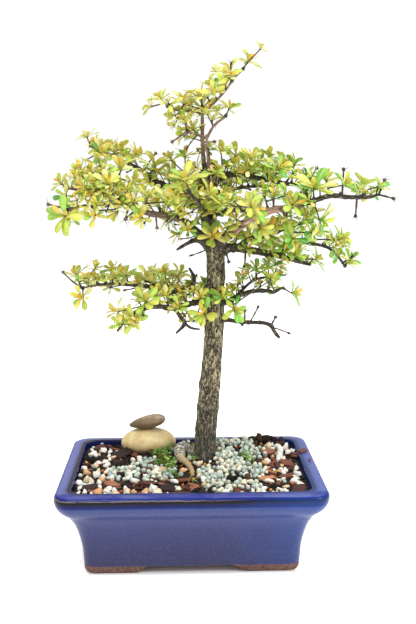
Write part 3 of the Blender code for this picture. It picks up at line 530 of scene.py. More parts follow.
def block(low, high, leans, along):
    """A block between two corners. Its lower and upper side lean outwards to the table, each by an amount of
    its own, and its two long upper edges are rounded."""
    shape = new_shape()
    bmesh.ops.create_cube(shape, size=1)
    for point in shape.verts:
        for axis in range(3):
            point.co[axis] = high[axis] if point.co[axis] > 0 else low[axis]
        if point.co.z == low[2]:
            point.co[1 - along] += leans[1] if point.co[1 - along] > 0 else -leans[0]
    edges = [edge for edge in shape.edges
             if all(point.co.z == high[2] for point in edge.verts)
             and abs((edge.verts[1].co - edge.verts[0].co)[along]) > 1]
    bmesh.ops.bevel(shape, geom=edges, offset=GAP_EDGE, segments=5, profile=0.5, affect="EDGES", material=-1)
    return shape


def drain_hole(x):
    shape = new_shape()
    bmesh.ops.create_cone(shape, cap_ends=True, segments=40, radius1=DRAIN_RADIUS, radius2=DRAIN_RADIUS,
                          depth=18, matrix=Matrix.Translation((x, 0, 11)))
    return shape


def loose_object(name, shape):
    mesh = bpy.data.meshes.new(name)
    shape.to_mesh(mesh)
    shape.free()
    made = bpy.data.objects.new(name, mesh)
    scene.collection.objects.link(made)
    return made


def cut_away(base, cutters):
    """The mesh of a body with all the cutters taken out of it, as a bmesh."""
    body = loose_object("body", base)
    tools = [loose_object("cutter", cutter) for cutter in cutters]
    for tool in tools:
        step = body.modifiers.new("cut", "BOOLEAN")
        step.operation = "DIFFERENCE"
        step.solver = "MANIFOLD"
        step.object = tool
    result = bpy.data.meshes.new_from_object(body.evaluated_get(bpy.context.evaluated_depsgraph_get()))
    shape = bmesh.new()
    shape.from_mesh(result)
    for thing in [body] + tools:
        bpy.data.objects.remove(thing)
    bpy.data.meshes.remove(result)
    return shape


cutters = [block((FRONT_GAP[0], -THROUGH, -1), (FRONT_GAP[1], THROUGH, GAP_TOP), FRONT_LEANS, 1),
           block((-THROUGH, SIDE_GAP[0], -1), (THROUGH, SIDE_GAP[1], GAP_TOP), SIDE_LEANS, 0),
           sweep([rounded_rectangle(POCKET_INSET, height) for height in (-2, POCKET_TOP)])]
cutters += [drain_hole(x) for x in DRAIN_PLACES]
pot_shape = cut_away(pot_shape, cutters)
bmesh.ops.recalc_face_normals(pot_shape, faces=pot_shape.faces)
print("the cut pot has", len(pot_shape.faces), "faces")

# %% [markdown]
# The glaze. Cobalt glaze runs off sharp edges in the kiln, so the rim's crest shows the dark clay through a
# thin layer, and below it the glaze is thickest and bluest. The points of the pot carry their distance from
# the crest, so these bands follow the rim round its corners, and a cloud makes them drift by half a
# millimetre.

# %% Bands of the glaze
# Painted shade in these bands: the wall grows darker towards the foot. The dark line at the rim's inner edge
# is partly the glaze's own dark line and partly painted shade where the soil meets the rim.
GLAZE_AND_SHADE_BANDS = (  # distance from the crest in mm, negative on the wall, and the colour there
    (-66, (46, 46, 76)), (-44, (50, 53, 94)), (-26, (56, 60, 106)), (-13, (60, 66, 114)), (-7, (60, 70, 118)),
    (-5.4, (58, 72, 126)), (-4.3, (16, 42, 112)), (-3.4, (0, 18, 84)), (-1.4, (0, 14, 78)),
    (-0.8, (4, 2, 10)), (1.2, (8, 4, 10)), (2.2, (8, 22, 84)), (3.6, (22, 44, 132)), (4.8, (98, 108, 172)),
    (8, (96, 102, 164)), (9.8, (84, 88, 142)), (11, (50, 50, 84)), (11.8, (18, 14, 22)),
    (12.8, (14, 10, 18)), (14, (16, 24, 88)), (30, (16, 22, 80)))
RIGHT_END_DAYLIGHT_BLUE = (30, 78, 156)  # the right end is tinted bluer: painted daylight from that side
THIN_GLAZE_AND_HIGHLIGHT = (122, 112, 114)  # a pale line on the crest at the left: painted highlight, and clay showing where the glaze ran thin
FRONT_RIM_BLUE_AND_SHADE = (16, 34, 134)  # the front of the rim's top is darker than its other sides: deeper cobalt, and painted shade

glaze = Finish("glazed_clay", 0.2)
where = glaze.place
right, ahead, height = split(where)
far_from_crest, _, _ = split(glaze.carried("grain"))
lowest = GLAZE_AND_SHADE_BANDS[0][0]
span = GLAZE_AND_SHADE_BANDS[-1][0] - lowest
drifted = far_from_crest + cloud(where, 9, 4) * 1.2 - 0.6
hue = ramp((drifted - lowest) / span, [((far - lowest) / span, colour) for far, colour in GLAZE_AND_SHADE_BANDS])

# Painted daylight: the right end of the pot is tinted bluer.
daylit_right = band(right + cloud(where, 30, 3) * 0.05, 0.02, 0.1)
hue = blend(daylit_right * 0.34, hue, RIGHT_END_DAYLIGHT_BLUE)
# A pale line along the crest on the left: a painted highlight, and the clay showing through thin glaze.
on_crest = 1 - band(abs(drifted - 1.6), 0.25, 0.7)
at_left = 1 - band(right, -0.03, 0.03)
thin_and_highlit = on_crest * at_left * band(cloud(where, 16, 3), 0.3, 0.5)
hue = blend(thin_and_highlit * 0.85, hue, THIN_GLAZE_AND_HIGHLIGHT)
# The front of the rim's top is darkened: partly deeper cobalt, partly painted shade.
at_front = 1 - band(ahead, -0.067, -0.061)
front_top_blue_and_shade = band(far_from_crest, 2, 4) * at_front
deep = band(cloud(where, 22, 4), 0.4, 0.6) * 0.5 + 0.35
hue = blend(front_top_blue_and_shade * deep, hue, FRONT_RIM_BLUE_AND_SHADE)
print("the glaze has", len(GLAZE_AND_SHADE_BANDS), "bands")

# %% [markdown]
# The wall has a fine pale speckle, pin-sized dark pits and a cloudy drift. Below about 6 mm the clay is bare,
# where the potter wiped the feet: brown, rough and slightly sandy, with no gloss.

# %% Speckle, pits and bare clay
SPECKLE = (132, 136, 200)
PIT = (20, 22, 80)
CLAY_DARK = (84, 62, 54)
CLAY_LIGHT = (134, 102, 88)

hue = shade(hue, cloud(where, 26, 3), 0.16)
on_the_wall = 1 - band(far_from_crest, -6, -4)
speckle = band(cloud(where, 0.8, 3, 0.7), 0.48, 0.74) * on_the_wall
hue = blend(speckle * 0.24, hue, SPECKLE)
pit = band(cloud(where, 0.8, 2, 0.5), 0.66, 0.76)
hue = blend(pit * 0.4, hue, PIT)
wiped_edge = cloud(where, 7, 3) * 0.0016 + 0.0052
glazed = band(height - wiped_edge, -0.0003, 0.0004)
clay_colour, clay_height = mottle(where, 1.1, CLAY_DARK, CLAY_LIGHT)
glaze.feed("Base Color", blend(glazed, clay_colour, hue))
glaze.feed("Roughness", glazed * -0.62 + 0.85)
glaze.feed("Coat Weight", glazed * 0.12)
glaze.feed("Coat Roughness", 0.05)
glaze.feed("Specular IOR Level", 0.18)
glaze.bump(cloud(where, 2.2, 3) + clay_height, 0.12)
show("pot_body", pot_shape, [glaze], ["pot"])

# %% [markdown]
# The wood. A black olive grows in stiff tiers: limbs leave the trunk almost level and fork at short knobby
# joints. The limbs follow the same lines as the solid ones, as points of x, y, z and radius.

# %% Lines of the limbs
ROUTES = {
    "trunk": ((11, 20, 44, 9.2), (11.6, 20, 60, 10.4), (12, 20, 70, 10.2), (12.8, 20, 80, 9.2),
              (13, 19, 96, 9.1), (15, 18, 118, 8.6), (17, 18, 144, 8.2), (19, 18, 169, 7.9),
              (20, 18, 199, 7.8), (21, 18, 223, 7.5), (20, 18, 242, 7.4), (16, 18, 260, 6.8),
              (14, 19, 278, 6.2), (14, 20, 290, 6.3), (15.5, 20, 298, 7.6), (16, 20, 304, 8),
              (16, 20, 310, 5.6), (15, 20, 314, 2.6)),
    "surface_root": ((8, 20, 68, 5), (0.5, 24, 71.2, 4.9), (-7, 23.5, 75, 4.9), (-9.4, 16.5, 75, 4.8),
                     (-9.2, 10, 72.8, 4.4), (-7.8, 4.5, 71.4, 3.3), (-4.6, -0.5, 70.6, 2.4),
                     (-1.6, -6, 69.2, 2.1), (0.6, -12, 67.2, 1.9), (1.2, -16.5, 63.4, 1.7),
                     (1.2, -18.5, 58.5, 1.6), (1.2, -19, 54, 1.5)),
    "left_main": ((18, 18, 246, 5.2), (7, 13, 257, 4), (-4, 7, 267, 3), (-16, 2, 272, 2.5),
                  (-32, -4, 275, 2.3), (-43, -9, 279, 2.1), (-62, -16, 289, 1.6), (-83, -20, 293, 1.1),
                  (-95, -22, 295, 0.8)),
    "left_low": ((-48, -11, 282, 1.8), (-63, -18, 283, 1.4), (-84, -27, 281, 1.1), (-92, -31, 279, 0.9)),
    "left_up": ((-41, -8, 279, 1.8), (-48, -2, 289, 1.5), (-57, 2, 296, 1.3), (-70, 3, 301, 1.1),
                (-84, 4, 300, 0.8)),
    "left_top": ((13, 20, 291, 4.2), (0, 28, 294, 2.9), (-17, 36, 295, 2.6), (-28, 41, 298, 3.4),
                 (-37, 43, 306, 2), (-45, 45, 311, 1.7), (-54, 46, 315, 1.4), (-68, 49, 322, 1.1),
                 (-82, 51, 327, 0.9)),
    "right_main": ((19, 18, 244, 5), (25, 10, 252, 4.2), (34, 2, 261, 3.6), (45, -6, 269, 3.2),
                   (60, -14, 277, 2.9), (74, -18, 280, 2.4), (90, -22, 284, 2.1), (106, -20, 289, 1.9),
                   (120, -20, 288, 1.7), (135, -22, 288, 1.4), (143, -23, 290, 1)),
    "right_top": ((14, 20, 295, 4.2), (26, 24, 303, 2.9), (38, 28, 305, 2.4), (56, 32, 302, 2),
                  (76, 34, 298, 1.7), (96, 34, 295, 1.2)),
    "right_mid": ((20, 18, 243, 4.6), (34, 20, 246, 3.8), (47, 22, 244, 3.2), (62, 24, 241, 2.8),
                  (76, 25, 238, 2.2), (89, 26, 234, 1.8), (100, 26, 231, 1.3)),
    "right_mid_up": ((39, 20, 246, 2.6), (49, 14, 254, 2.2), (62, 8, 256, 1.9), (71, 2, 261, 1.6),
                     (82, -5, 266, 1.4), (95, -13, 269, 1)),
    "right_mid_side": ((72, 25, 239, 2), (80, 28, 244, 1.7), (88, 30, 249, 1.5), (112, 28, 246, 1.3),
                       (123, 26, 237, 1.1), (129, 26, 229, 0.9)),
    "left_lower": ((17, 18, 201, 3.2), (4, 12, 202, 2.5), (-6, 6, 200, 2.4), (-16, 2, 199, 2.4),
                   (-25, -2, 201, 1.9), (-36, -6, 200, 1.7), (-47, -10, 196, 1.4), (-53, -12, 190, 1.1),
                   (-58, -13, 183, 1)),
    "left_lower_up": ((-10, 4, 200, 2.3), (-16, 10, 208, 2.2), (-25, 16, 213, 2), (-48, 24, 215, 1.6),
                      (-70, 28, 215, 1.2), (-90, 28, 212, 0.8)),
    "left_lower_back": ((18, 18, 206, 3), (8, 34, 207, 2.2), (-3, 44, 209, 1.9), (-18, 52, 210, 1.5),
                        (-35, 58, 213, 1)),
    "left_stub": ((-20, 12, 210, 2), (-7, 18, 211, 2), (1, 22, 214, 1.9), (3, 24, 221, 1.6),
                  (-1, 24, 229, 1)),
    "left_knot": ((-13, 3, 199, 1.8), (-9, 0, 193, 1.4), (-5, -2, 187, 1.7), (-12, -2, 179, 0.9)),
    "left_knot_twig": ((-6, -2, 188, 1.3), (0, -4, 184, 1), (7, -6, 183, 0.9)),
    "right_lower": ((20, 18, 199, 3), (29, 12, 202, 2.3), (37, 8, 207, 2), (48, 3, 212, 1.8),
                    (62, 0, 213, 1.6), (66, -1, 212, 1.6), (73, -3, 216, 1)),
    "right_lower_up": ((37, 8, 207, 1.6), (45, 12, 215, 1.2), (53, 16, 220, 1), (64, 18, 222, 0.9),
                       (79, 22, 223, 0.8)),
    "right_dead": ((20, 18, 189, 3), (33, 12, 187, 1.8), (46, 8, 186, 1.7), (58, 6, 186, 1.5),
                   (65, 4, 184, 1.7), (68, 3, 179, 1.5), (72, 2, 174, 1.2)),
    "fork_stub": ((15, 18, 249, 2.6), (5, 8, 253, 2.1), (-2, 4, 251, 1.6), (-11, 0, 246, 0.9)),
    "leader": ((14, 20, 296, 3), (11, 22, 316, 1.7), (10, 22, 336, 1.5), (10, 22, 357, 1.2)),
    "leader_two": ((14, 19, 296, 3), (15, 16, 310, 1.5), (14, 14, 324, 1.3), (13, 13, 336, 1.1)),
    "leader_two_left": ((14, 14, 333, 1.2), (5, 11, 336, 1), (-2, 9, 338, 0.9)),
    "leader_two_right": ((13, 14, 333, 1.1), (19, 15, 343, 1), (28, 18, 350, 0.9)),
    "apex_left": ((10, 22, 352, 1.2), (2, 20, 355, 1), (-6, 18, 354, 0.9), (-17, 14, 357, 0.7)),
    "apex_right": ((10, 22, 353, 1.2), (18, 24, 360, 1), (24, 24, 366, 1), (30, 24, 373, 1),
                   (35, 24, 380, 0.9), (42, 24, 387, 0.7)),
    "front_up": ((14, 18, 262, 3), (11, -2, 274, 2), (5, -20, 284, 1.5), (-1, -34, 292, 1)),
    "front_right": ((14, 18, 271, 3), (26, -4, 276, 1.7), (36, -24, 278, 1.3), (44, -36, 277, 0.9)),
    "back_left": ((14, 20, 283, 3.4), (5, 42, 287, 2.2), (-9, 56, 290, 1.4)),
    "back_right": ((15, 20, 286, 3.2), (28, 42, 291, 1.9), (46, 54, 294, 1.4), (61, 58, 295, 1)),
}
print(len(ROUTES), "limbs, the trunk and the surface root among them")

# %% [markdown]
# The bare twigs. Each is given by the limb that carries it and the place of its tip.

# %% Bare twigs
BARE_TWIGS = (
    ("right_top", (104, 30, 310)), ("right_top", (94, 34, 304)), ("right_main", (117, -16, 309)),
    ("right_main", (148, -20, 301)), ("right_main", (154, -26, 287)), ("right_main", (128, -12, 273)),
    ("left_low", (-106, -33, 283)), ("left_main", (-50, -18, 271)),
    ("leader", (20, 26, 331)), ("right_mid", (44, 16, 231)), ("right_mid", (31, 13, 235)),
    ("right_dead", (44, 6, 196)), ("right_dead", (68, -2, 192)), ("leader_two_left", (-14, 6, 330)),
    ("left_top", (-28, 46, 322)), ("left_main", (-26, -10, 264)), ("left_lower_up", (-104, 22, 226)),
    ("right_mid_side", (134, 22, 238)), ("back_right", (70, 66, 290)),
)
print(len(BARE_TWIGS), "bare twigs")

# %% [markdown]
# The leafy shoots. Each is given by the limb that carries it and by its one or two rosettes, with the place
# and the size of each.

# %% Leafy shoots
SHOOTS = (
    ("apex_left", ((-22, 14, 362, 0.9), (-30, 20, 358, 0.8))),
    ("apex_left", ((-5, 16, 360, 1.0), (1, 27, 366, 0.6))),
    ("leader", ((9, 20, 364, 1.1),)),
    ("leader_two_left", ((-4, 8, 344, 1.0),)),
    ("leader_two_right", ((31, 19, 356, 0.95),)),
    ("apex_right", ((20, 31, 373, 0.8), (18, 14, 368, 0.8))),
    ("apex_right", ((31, 17, 380, 0.95), (22, 30, 385, 0.6))),
    ("apex_right", ((46, 25, 393, 0.9), (56, 26, 403, 0.5))),
    ("right_top", ((25, 20, 322, 1.0), (38, 38, 320, 1.0))),
    ("right_top", ((49, 25, 316, 1.1), (58, 48, 315, 0.9))),
    ("right_top", ((66, 38, 318, 1.0), (78, 50, 314, 0.9))),
    ("right_top", ((71, 20, 308, 1.1),)),
    ("right_top", ((86, 36, 312, 1.0), (100, 26, 301, 0.8))),
    ("left_top", ((-85, 51, 335, 0.9), (-74, 40, 322, 0.9))),
    ("left_top", ((-60, 57, 325, 0.9), (-46, 52, 320, 1.0))),
    ("left_top", ((-29, 35, 311, 1.15), (-16, 50, 303, 1.0))),
    ("left_top", ((-4, 24, 318, 1.05), (-15, 38, 316, 0.9))),
    ("left_up", ((-54, -1, 308, 1.25), (-46, 9, 298, 0.9))),
    ("left_up", ((-71, 12, 311, 1.0), (-86, 7, 306, 1.0))),
    ("left_up", ((-72, -7, 299, 0.9),)),
    ("left_main", ((-33, -9, 287, 1.0), (-19, -12, 284, 1.0))),
    ("left_main", ((-26, 13, 286, 1.0),)),
    ("left_main", ((-3, -5, 283, 1.0),)),
    ("left_main", ((-62, -25, 297, 0.95), (-78, -30, 294, 0.9))),
    ("left_low", ((-93, -38, 275, 1.15),)),
    ("left_low", ((-72, -28, 275, 0.8), (-57, -24, 279, 0.8))),
    ("front_up", ((-4, -40, 300, 1.25),)),
    ("front_up", ((13, -22, 289, 1.0), (17, -10, 286, 0.8))),
    ("trunk", ((17, -1, 256, 1.0),)),
    ("front_right", ((29, -22, 284, 0.9), (44, -42, 281, 1.0))),
    ("right_main", ((53, -15, 264, 0.9),)),
    ("right_main", ((57, -8, 290, 1.0), (71, -24, 289, 0.95))),
    ("right_main", ((92, -29, 294, 1.35),)),
    ("right_main", ((98, -24, 271, 1.15),)),
    ("right_main", ((105, -10, 300, 0.9), (116, -22, 297, 1.0))),
    ("right_main", ((132, -18, 296, 1.0), (141, -29, 296, 0.8))),
    ("right_mid_up", ((79, -12, 256, 0.95), (92, -20, 261, 0.8))),
    ("right_mid_side", ((104, 36, 255, 1.0), (122, 22, 252, 1.0))),
    ("right_mid_side", ((134, 34, 234, 0.8),)),
    ("right_mid", ((64, 18, 249, 0.9), (50, 32, 253, 1.0))),
    ("right_mid", ((84, 16, 239, 0.9), (102, 18, 236, 0.9))),
    ("left_lower_up", ((-94, 33, 220, 1.0), (-80, 34, 226, 1.0))),
    ("left_lower_up", ((-88, 20, 206, 0.9),)),
    ("left_lower_up", ((-52, 18, 223, 1.0), (-63, 34, 225, 0.9))),
    ("left_lower_back", ((-21, 44, 220, 1.1), (-9, 55, 219, 0.9))),
    ("left_lower", ((-35, -14, 206, 1.2), (-56, -20, 200, 0.9))),
    ("trunk", ((11, 0, 194, 1.1), (25, -1, 207, 0.95))),
    ("right_lower", ((34, 0, 198, 0.9), (62, -8, 222, 0.9))),
    ("right_lower", ((80, -6, 212, 0.9),)),
    ("right_lower_up", ((53, 10, 228, 0.9), (70, 26, 231, 0.9))),
    ("back_left", ((-9, 64, 299, 1.0), (-18, 58, 283, 0.9))),
    ("back_right", ((48, 62, 304, 1.0), (64, 50, 303, 0.9))),
)
TRUNK_MIDDLE = Vector((14, 18, 0))  # the line that the crown opens out from
SPUR_REACH = 1.6  # how far a spur stands out of its limb
SPUR_GAP = 0.3
FORK_SHARE = 0.35  # of the way to the first rosette, where the side stem leaves


def nearest_on_route(name, place):
    """The point of a limb's line nearest to a place, and the limb's radius there."""
    best = None
    route = ROUTES[name]
    for start, end in zip(route, route[1:]):
        a = Vector(start[:3])
        b = Vector(end[:3])
        share = min(max((place - a).dot(b - a) / (b - a).length_squared, 0), 1)
        point = a.lerp(b, share)
        distance = (point - place).length
        if best is None or distance < best[0]:
            best = (distance, point, start[3] + (end[3] - start[3]) * share)
    return best[1], best[2]


print(len(SHOOTS), "leafy shoots")

# %% [markdown]
# Bark is built, not painted: every ring of points is pushed in and out by a noise stretched along the limb.
# Where that noise crosses zero the old bark splits, which gives the trunk its long fissures. Limbs get knobs
# where leaves once grew, and swell where they leave their parent. The points carry youth (0 for old bark, 1
# for a green twig), how rubbed and pale the bark is, and their place around and along the limb.


# %% Drawing a limb
def bark_noise(seat, shift, around, along):
    """Noise whose patches are so wide around a limb and so long along it, in millimetres."""
    return noise.noise(Vector((seat.x / around, seat.y / around, seat.z / along)) + shift)


def bark_rise(seat, radius, youth, seed):
    """How far the bark stands out at a place around (x, y) and along (z) a limb, in millimetres."""
    shift = Vector((seed, seed, seed))
    swell = bark_noise(seat, shift, 9, 11) * 0.09 * radius
    crack = bark_noise(seat, shift, 2.1, 7.5)
    fine = bark_noise(seat, shift, 0.9, 2.2)
    depth = min(0.9, 0.13 * radius) * max(0.0, 1 - youth) + 0.05
    furrow = -max(0.0, 1 - abs(crack) * 5.5) * depth
    return swell + furrow + fine * depth * 0.35


def limb_rings(line, sides, youth, seed, knobs=(), joint=0.0, foot=0.0):
    """Rings square to a limb's line, turned no more than its bends ask, and what their points carry."""
    rings = []
    carry = []
    across = None
    along_mm = 0.0
    for index, station in enumerate(line):
        point = station.xyz
        before = line[max(index - 1, 0)].xyz
        after = line[min(index + 1, len(line) - 1)].xyz
        along = (after - before).normalized()
        along_mm += (point - before).length
        across = along.orthogonal() if across is None else across - along * across.dot(along)
        across.normalize()
        beside = along.cross(across)
        radius = station.w
        for place, height, reach in knobs:
            radius += height * math.exp(-((along_mm - place) / reach) ** 2)
        if foot:
            radius *= 1 + foot * math.exp(-max(0.0, along_mm - joint) / 3.5)
        ring = []
        seats = []
        for side in range(sides):
            angle = math.tau * side / sides
            seat = Vector((math.cos(angle) * radius, math.sin(angle) * radius, along_mm))
            rise = bark_rise(seat, radius, youth(station.w, along_mm), seed)
            offset = across * math.cos(angle) + beside * math.sin(angle)
            ring.append(point + offset * (radius + rise))
            seats.append(seat)
        rings.append(ring)
        carry.append(seats)
    return rings, carry


def limb_shape(line, sides, youth, seed, pale=0.0, rubbed=None, **swelling):
    """A limb as a closed skin that carries its youth, its paleness, how rubbed it is, and its grain."""
    rings, seats = limb_rings(line, sides, youth, seed, **swelling)
    shape = sweep(rings, seats)
    tint = shape.verts.layers.float_vector["tint"]
    grain = shape.verts.layers.float_vector["grain"]
    radius_at = KDTree(len(line))
    for index, station in enumerate(line):
        radius_at.insert(station.xyz, index)
    radius_at.balance()
    for point in shape.verts:
        _, index, _ = radius_at.find(point.co)
        smooth = rubbed(point[grain].z) if rubbed else 0
        point[tint] = (youth(line[index].w, point[grain].z), pale, smooth)
    return shape


print("a limb can be drawn")

# %% [markdown]
# How old each stretch of wood is. Youth is a rule that gets the radius at a point and how far along the limb
# it lies: thick wood is old, and a pencil line of wood is last year's. Most twigs stay dark all the same, and
# only those of the leaders and the left tiers turn reddish.


# %% Youth, joints and straight lines
def share_of(value, start, reach):
    """0 at start, 1 a reach further on, and held there on both sides."""
    return min(max((value - start) / reach, 0), 1)


def limb_youth(radius, along_mm):
    return min(max(1.15 - radius * 0.36, 0.12), 0.95)


def dark_youth(radius, along_mm):
    return min(limb_youth(radius, along_mm), 0.48)


def root_youth(radius, along_mm):
    """Old over the arch, young where the root has run down to the soil."""
    return max(0.3, share_of(along_mm, 32, 6))


def steady(youth):
    """The same youth all along."""
    return lambda radius, along_mm: youth


def rubbed_between(start, end, much):
    """Full between two places along a limb, fading out over 6 mm."""
    return lambda along_mm: much * share_of(min(along_mm - start, end - along_mm), 0, 6)


def joint_reach(name):
    """How deep a limb's first point lies in the limb that carries it."""
    start = Vector(ROUTES[name][0][:3])
    deep = 0.0
    for other in ROUTES:
        if other == name:
            continue
        point, radius = nearest_on_route(other, start)
        if (point - start).length < radius:
            deep = max(deep, radius)
    return deep


def bent_line(start, end, radii, bow=0.0):
    """Stations from start to end, bowed sideways a little. radii pairs shares of the way with a radius."""
    span = end - start
    side = span.orthogonal().normalized() * bow * span.length
    return [Vector((*(start + span * share + side * math.sin(math.pi * share)), radius))
            for share, radius in radii]


print("the deepest joint is", max(joint_reach(name) for name in ROUTES), "mm")

# %% [markdown]
# Trunk, root and limbs. The trunk has over fifty sides, so that its fissures are shape; a thin limb needs
# only nine. The surface root comes up behind the moss, bends over as a short fat knuckle, pale with dark
# rings, and runs back into the soil as a thin tan cord.

# %% Trunk, root and limbs
TRUNK_SIDES = 54
ROOT_SIDES = 22
LIMB_SIDES = 14
THIN_SIDES = 9
THICK_START = 2.6  # a limb that starts thicker than this has more sides
ROOT_RINGS = (9.5, 12.4, 15.6, 18.4, 21.6, 24.6, 28, 31, 34)  # mm along it
JOINT_SWELL = 0.16
REDDISH = ("leader", "leader_two", "leader_two_left", "leader_two_right", "apex_left", "apex_right",
           "left_main", "left_low", "left_lower_up", "left_top")
RUBBED = {"right_main": (26, 88, 1.0), "left_main": (34, 84, 0.25), "left_up": (4, 40, 0.3),
          "leader": (14, 60, 0.45), "leader_two": (8, 40, 0.45)}  # from, to and how much, along a limb

wood_rng = random.Random("wood")
wood = new_shape()
scars = [(wood_rng.uniform(60, 190), wood_rng.uniform(0.25, 0.7), wood_rng.uniform(2.5, 5)) for _ in range(6)]
add_shape(wood, limb_shape(smooth_line(ROUTES["trunk"], 1.25), TRUNK_SIDES, steady(0.0), 3.7, knobs=scars))
root_knobs = [(place, 0.35, 0.5) for place in ROOT_RINGS]
add_shape(wood, limb_shape(smooth_line(ROUTES["surface_root"], 0.7), ROOT_SIDES, root_youth, 8.1, pale=1.0,
                           knobs=root_knobs))

for name, route in ROUTES.items():
    if name in ("trunk", "surface_root"):
        continue
    line = smooth_line(route, 1.2 if route[0][3] > 2.3 else 1.0)
    length = sum((b.xyz - a.xyz).length for a, b in zip(line, line[1:]))
    knobs = []
    place = wood_rng.uniform(6, 12)
    while place < length - 2:
        thick = line[min(len(line) - 1, round(place / length * len(line)))].w
        knobs.append((place, thick * wood_rng.uniform(0.06, 0.28), wood_rng.uniform(0.9, 1.8)))
        place += wood_rng.uniform(4.5, 11)
    sides = LIMB_SIDES if route[0][3] > THICK_START else THIN_SIDES
    youth = limb_youth if name in REDDISH else dark_youth
    rubbed = rubbed_between(*RUBBED[name]) if name in RUBBED else None
    add_shape(wood, limb_shape(line, sides, youth, wood_rng.uniform(0, 90), rubbed=rubbed,
                               knobs=knobs, joint=joint_reach(name), foot=JOINT_SWELL))
print("the limbs have", len(wood.faces), "faces so far")

# %% [markdown]
# Bare twigs and spines. A black olive's twigs end in a knob, a packed bud, with a star of hair-thin spines. A
# spine is a three-sided needle: at this size more sides would never be seen.

# %% Knobs and spines of the bare twigs
SPINE_RADII = ((0, 0.27), (0.5, 0.189), (1, 0.0405))  # share of the way, and radius
SPINE_LENGTHS = (4.2, 7.6)
BOX_MARGIN = 0.2
TWIG_END = 1.4  # how far a twig's knob reaches past the tip that the table gives
TWIG_KNOB = 1.6


def needle(start, direction, length):
    """A stiff spine, thinning to its point."""
    return limb_shape(bent_line(start, start + direction * length, SPINE_RADII), 3, steady(0.3), 0.0)


def inside_box(points):
    """Whether points stay inside the box that the solids fill."""
    return all(BOX_LOW[axis] + BOX_MARGIN < point[axis] < BOX_HIGH[axis] - BOX_MARGIN
               for point in points for axis in range(3))


def star_of_spines(heap, centre, along, count, rng):
    first = rng.uniform(0, math.tau)
    for index in range(count):
        turn = Matrix.Rotation(first + index * math.tau / count + rng.uniform(-0.3, 0.3), 3, along)
        direction = (turn @ along.orthogonal().normalized() + along * rng.uniform(0.1, 0.7)).normalized()
        length = rng.uniform(*SPINE_LENGTHS)
        if inside_box([centre + direction * (length + 0.3)]):
            add_shape(heap, needle(centre, direction, length))


for limb, tip in BARE_TWIGS:
    tip = Vector(tip)
    root, _ = nearest_on_route(limb, tip)
    along = (tip - root).normalized()
    knob = TWIG_KNOB / ((tip - root).length + TWIG_END)
    radii = [(0, 1.0), (0.2, 0.74), (0.4, 0.86), (0.6, 0.62), (0.8, 0.7), (1 - 2.1 * knob, 0.62),
             (1 - 1.6 * knob, 1.1), (1 - knob, 1.5), (1 - 0.45 * knob, 1.25), (1, 0.5)]
    line = smooth_line(bent_line(root, tip + along * TWIG_END, radii, wood_rng.uniform(-0.04, 0.04)), 0.9)
    young = steady(0.75 if limb in REDDISH else 0.35)
    add_shape(wood, limb_shape(line, 8, young, wood_rng.uniform(0, 90)))
    star_of_spines(wood, tip, along, wood_rng.choice((3, 4, 4, 5)), wood_rng)
print(len(BARE_TWIGS), "bare twigs; the wood has", len(wood.faces), "faces so far")

# %% [markdown]
# Spurs. Leaves grow from short fat spurs, one under each leafy shoot. Two pieces of dead wood that no table
# row gives stand on their own: a dark peg on the right limb, and a dead twig across the trunk.

# %% Spurs of the leafy shoots, and dead wood
SPUR_RADII = ((0, 1.8), (0.35, 1.55), (0.55, 1.25), (0.75, 1.15), (0.9, 1.3), (1, 1.0))
PEG = (Vector((87.7, -21.6, 283)), Vector((86.8, -20, 302)))
PEG_RADII = ((0, 2.4), (0.5, 2.0), (0.9, 2.3), (1, 1.7))
DEAD_TWIG = (Vector((14, 7, 227.5)), Vector((31, 19, 242.5)))
DEAD_RADII = ((0, 0.3), (0.3, 0.6), (1, 0.9))


def shoot_line(limb, rosettes):
    """The root of a leafy shoot on its limb's line, the end of its spur, and where its stem starts."""
    centre = Vector(rosettes[0][:3])
    root, radius = nearest_on_route(limb, centre)
    along = (centre - root).normalized()
    spur_end = root + along * (radius + SPUR_REACH)
    return root, spur_end, spur_end + along * SPUR_GAP


def named_shoots():
    counts = {}
    for limb, rosettes in SHOOTS:
        counts[limb] = counts.get(limb, 0) + 1
        yield f"shoot_{limb}_{counts[limb]}", limb, rosettes


for name, limb, rosettes in named_shoots():
    root, spur_end, _ = shoot_line(limb, rosettes)
    line = smooth_line(bent_line(root, spur_end, SPUR_RADII), 0.8)
    add_shape(wood, limb_shape(line, 8, steady(0.45), wood_rng.uniform(0, 90)))
add_shape(wood, limb_shape(smooth_line(bent_line(*PEG, PEG_RADII), 1.0), 10, limb_youth, 5.0))
dead_line = smooth_line(bent_line(*DEAD_TWIG, DEAD_RADII), 1.0)
add_shape(wood, limb_shape(dead_line, 6, steady(0.9), 7.0, pale=0.6))
print("with spurs the wood has", len(wood.faces), "faces")

# %% [markdown]
# Small spiny spurs. Every limb also bears thin spurs of a centimetre or so, each with its own star of spines.
# They come about a step apart along the limb, and most stand out of its upper half.

# %% Small spiny spurs
SPINY_STEP = 15
SPINY_REACH = (5, 16)
SPINY_RADII = ((0, 0.85), (0.3, 0.55), (0.5, 0.7), (0.7, 0.5), (0.84, 0.75), (0.92, 1.05), (1, 0.4))
NO_SPURS = ("trunk", "surface_root", "fork_stub", "left_knot_twig")


def places_along(bare, step, own_steps, sway, rng, thickest=math.inf):
    """Walks each limb that isn't bare, and yields a station about every step, with the limb's direction."""
    for name, route in ROUTES.items():
        if name in bare:
            continue
        line = smooth_line(route, 1.0)
        stride = own_steps.get(name, step)
        walked = rng.uniform(0, stride)
        for here, after in zip(line, line[1:]):
            walked += (after.xyz - here.xyz).length
            if walked >= stride and here.w <= thickest:
                walked = rng.uniform(-sway, sway)
                yield here, (after.xyz - here.xyz).normalized()


def off_limb(along, swing):
    """A direction square to a limb, swung round it from its upper side."""
    return Matrix.Rotation(swing, 3, along) @ along.cross(Vector((0, 1, 0))).normalized()


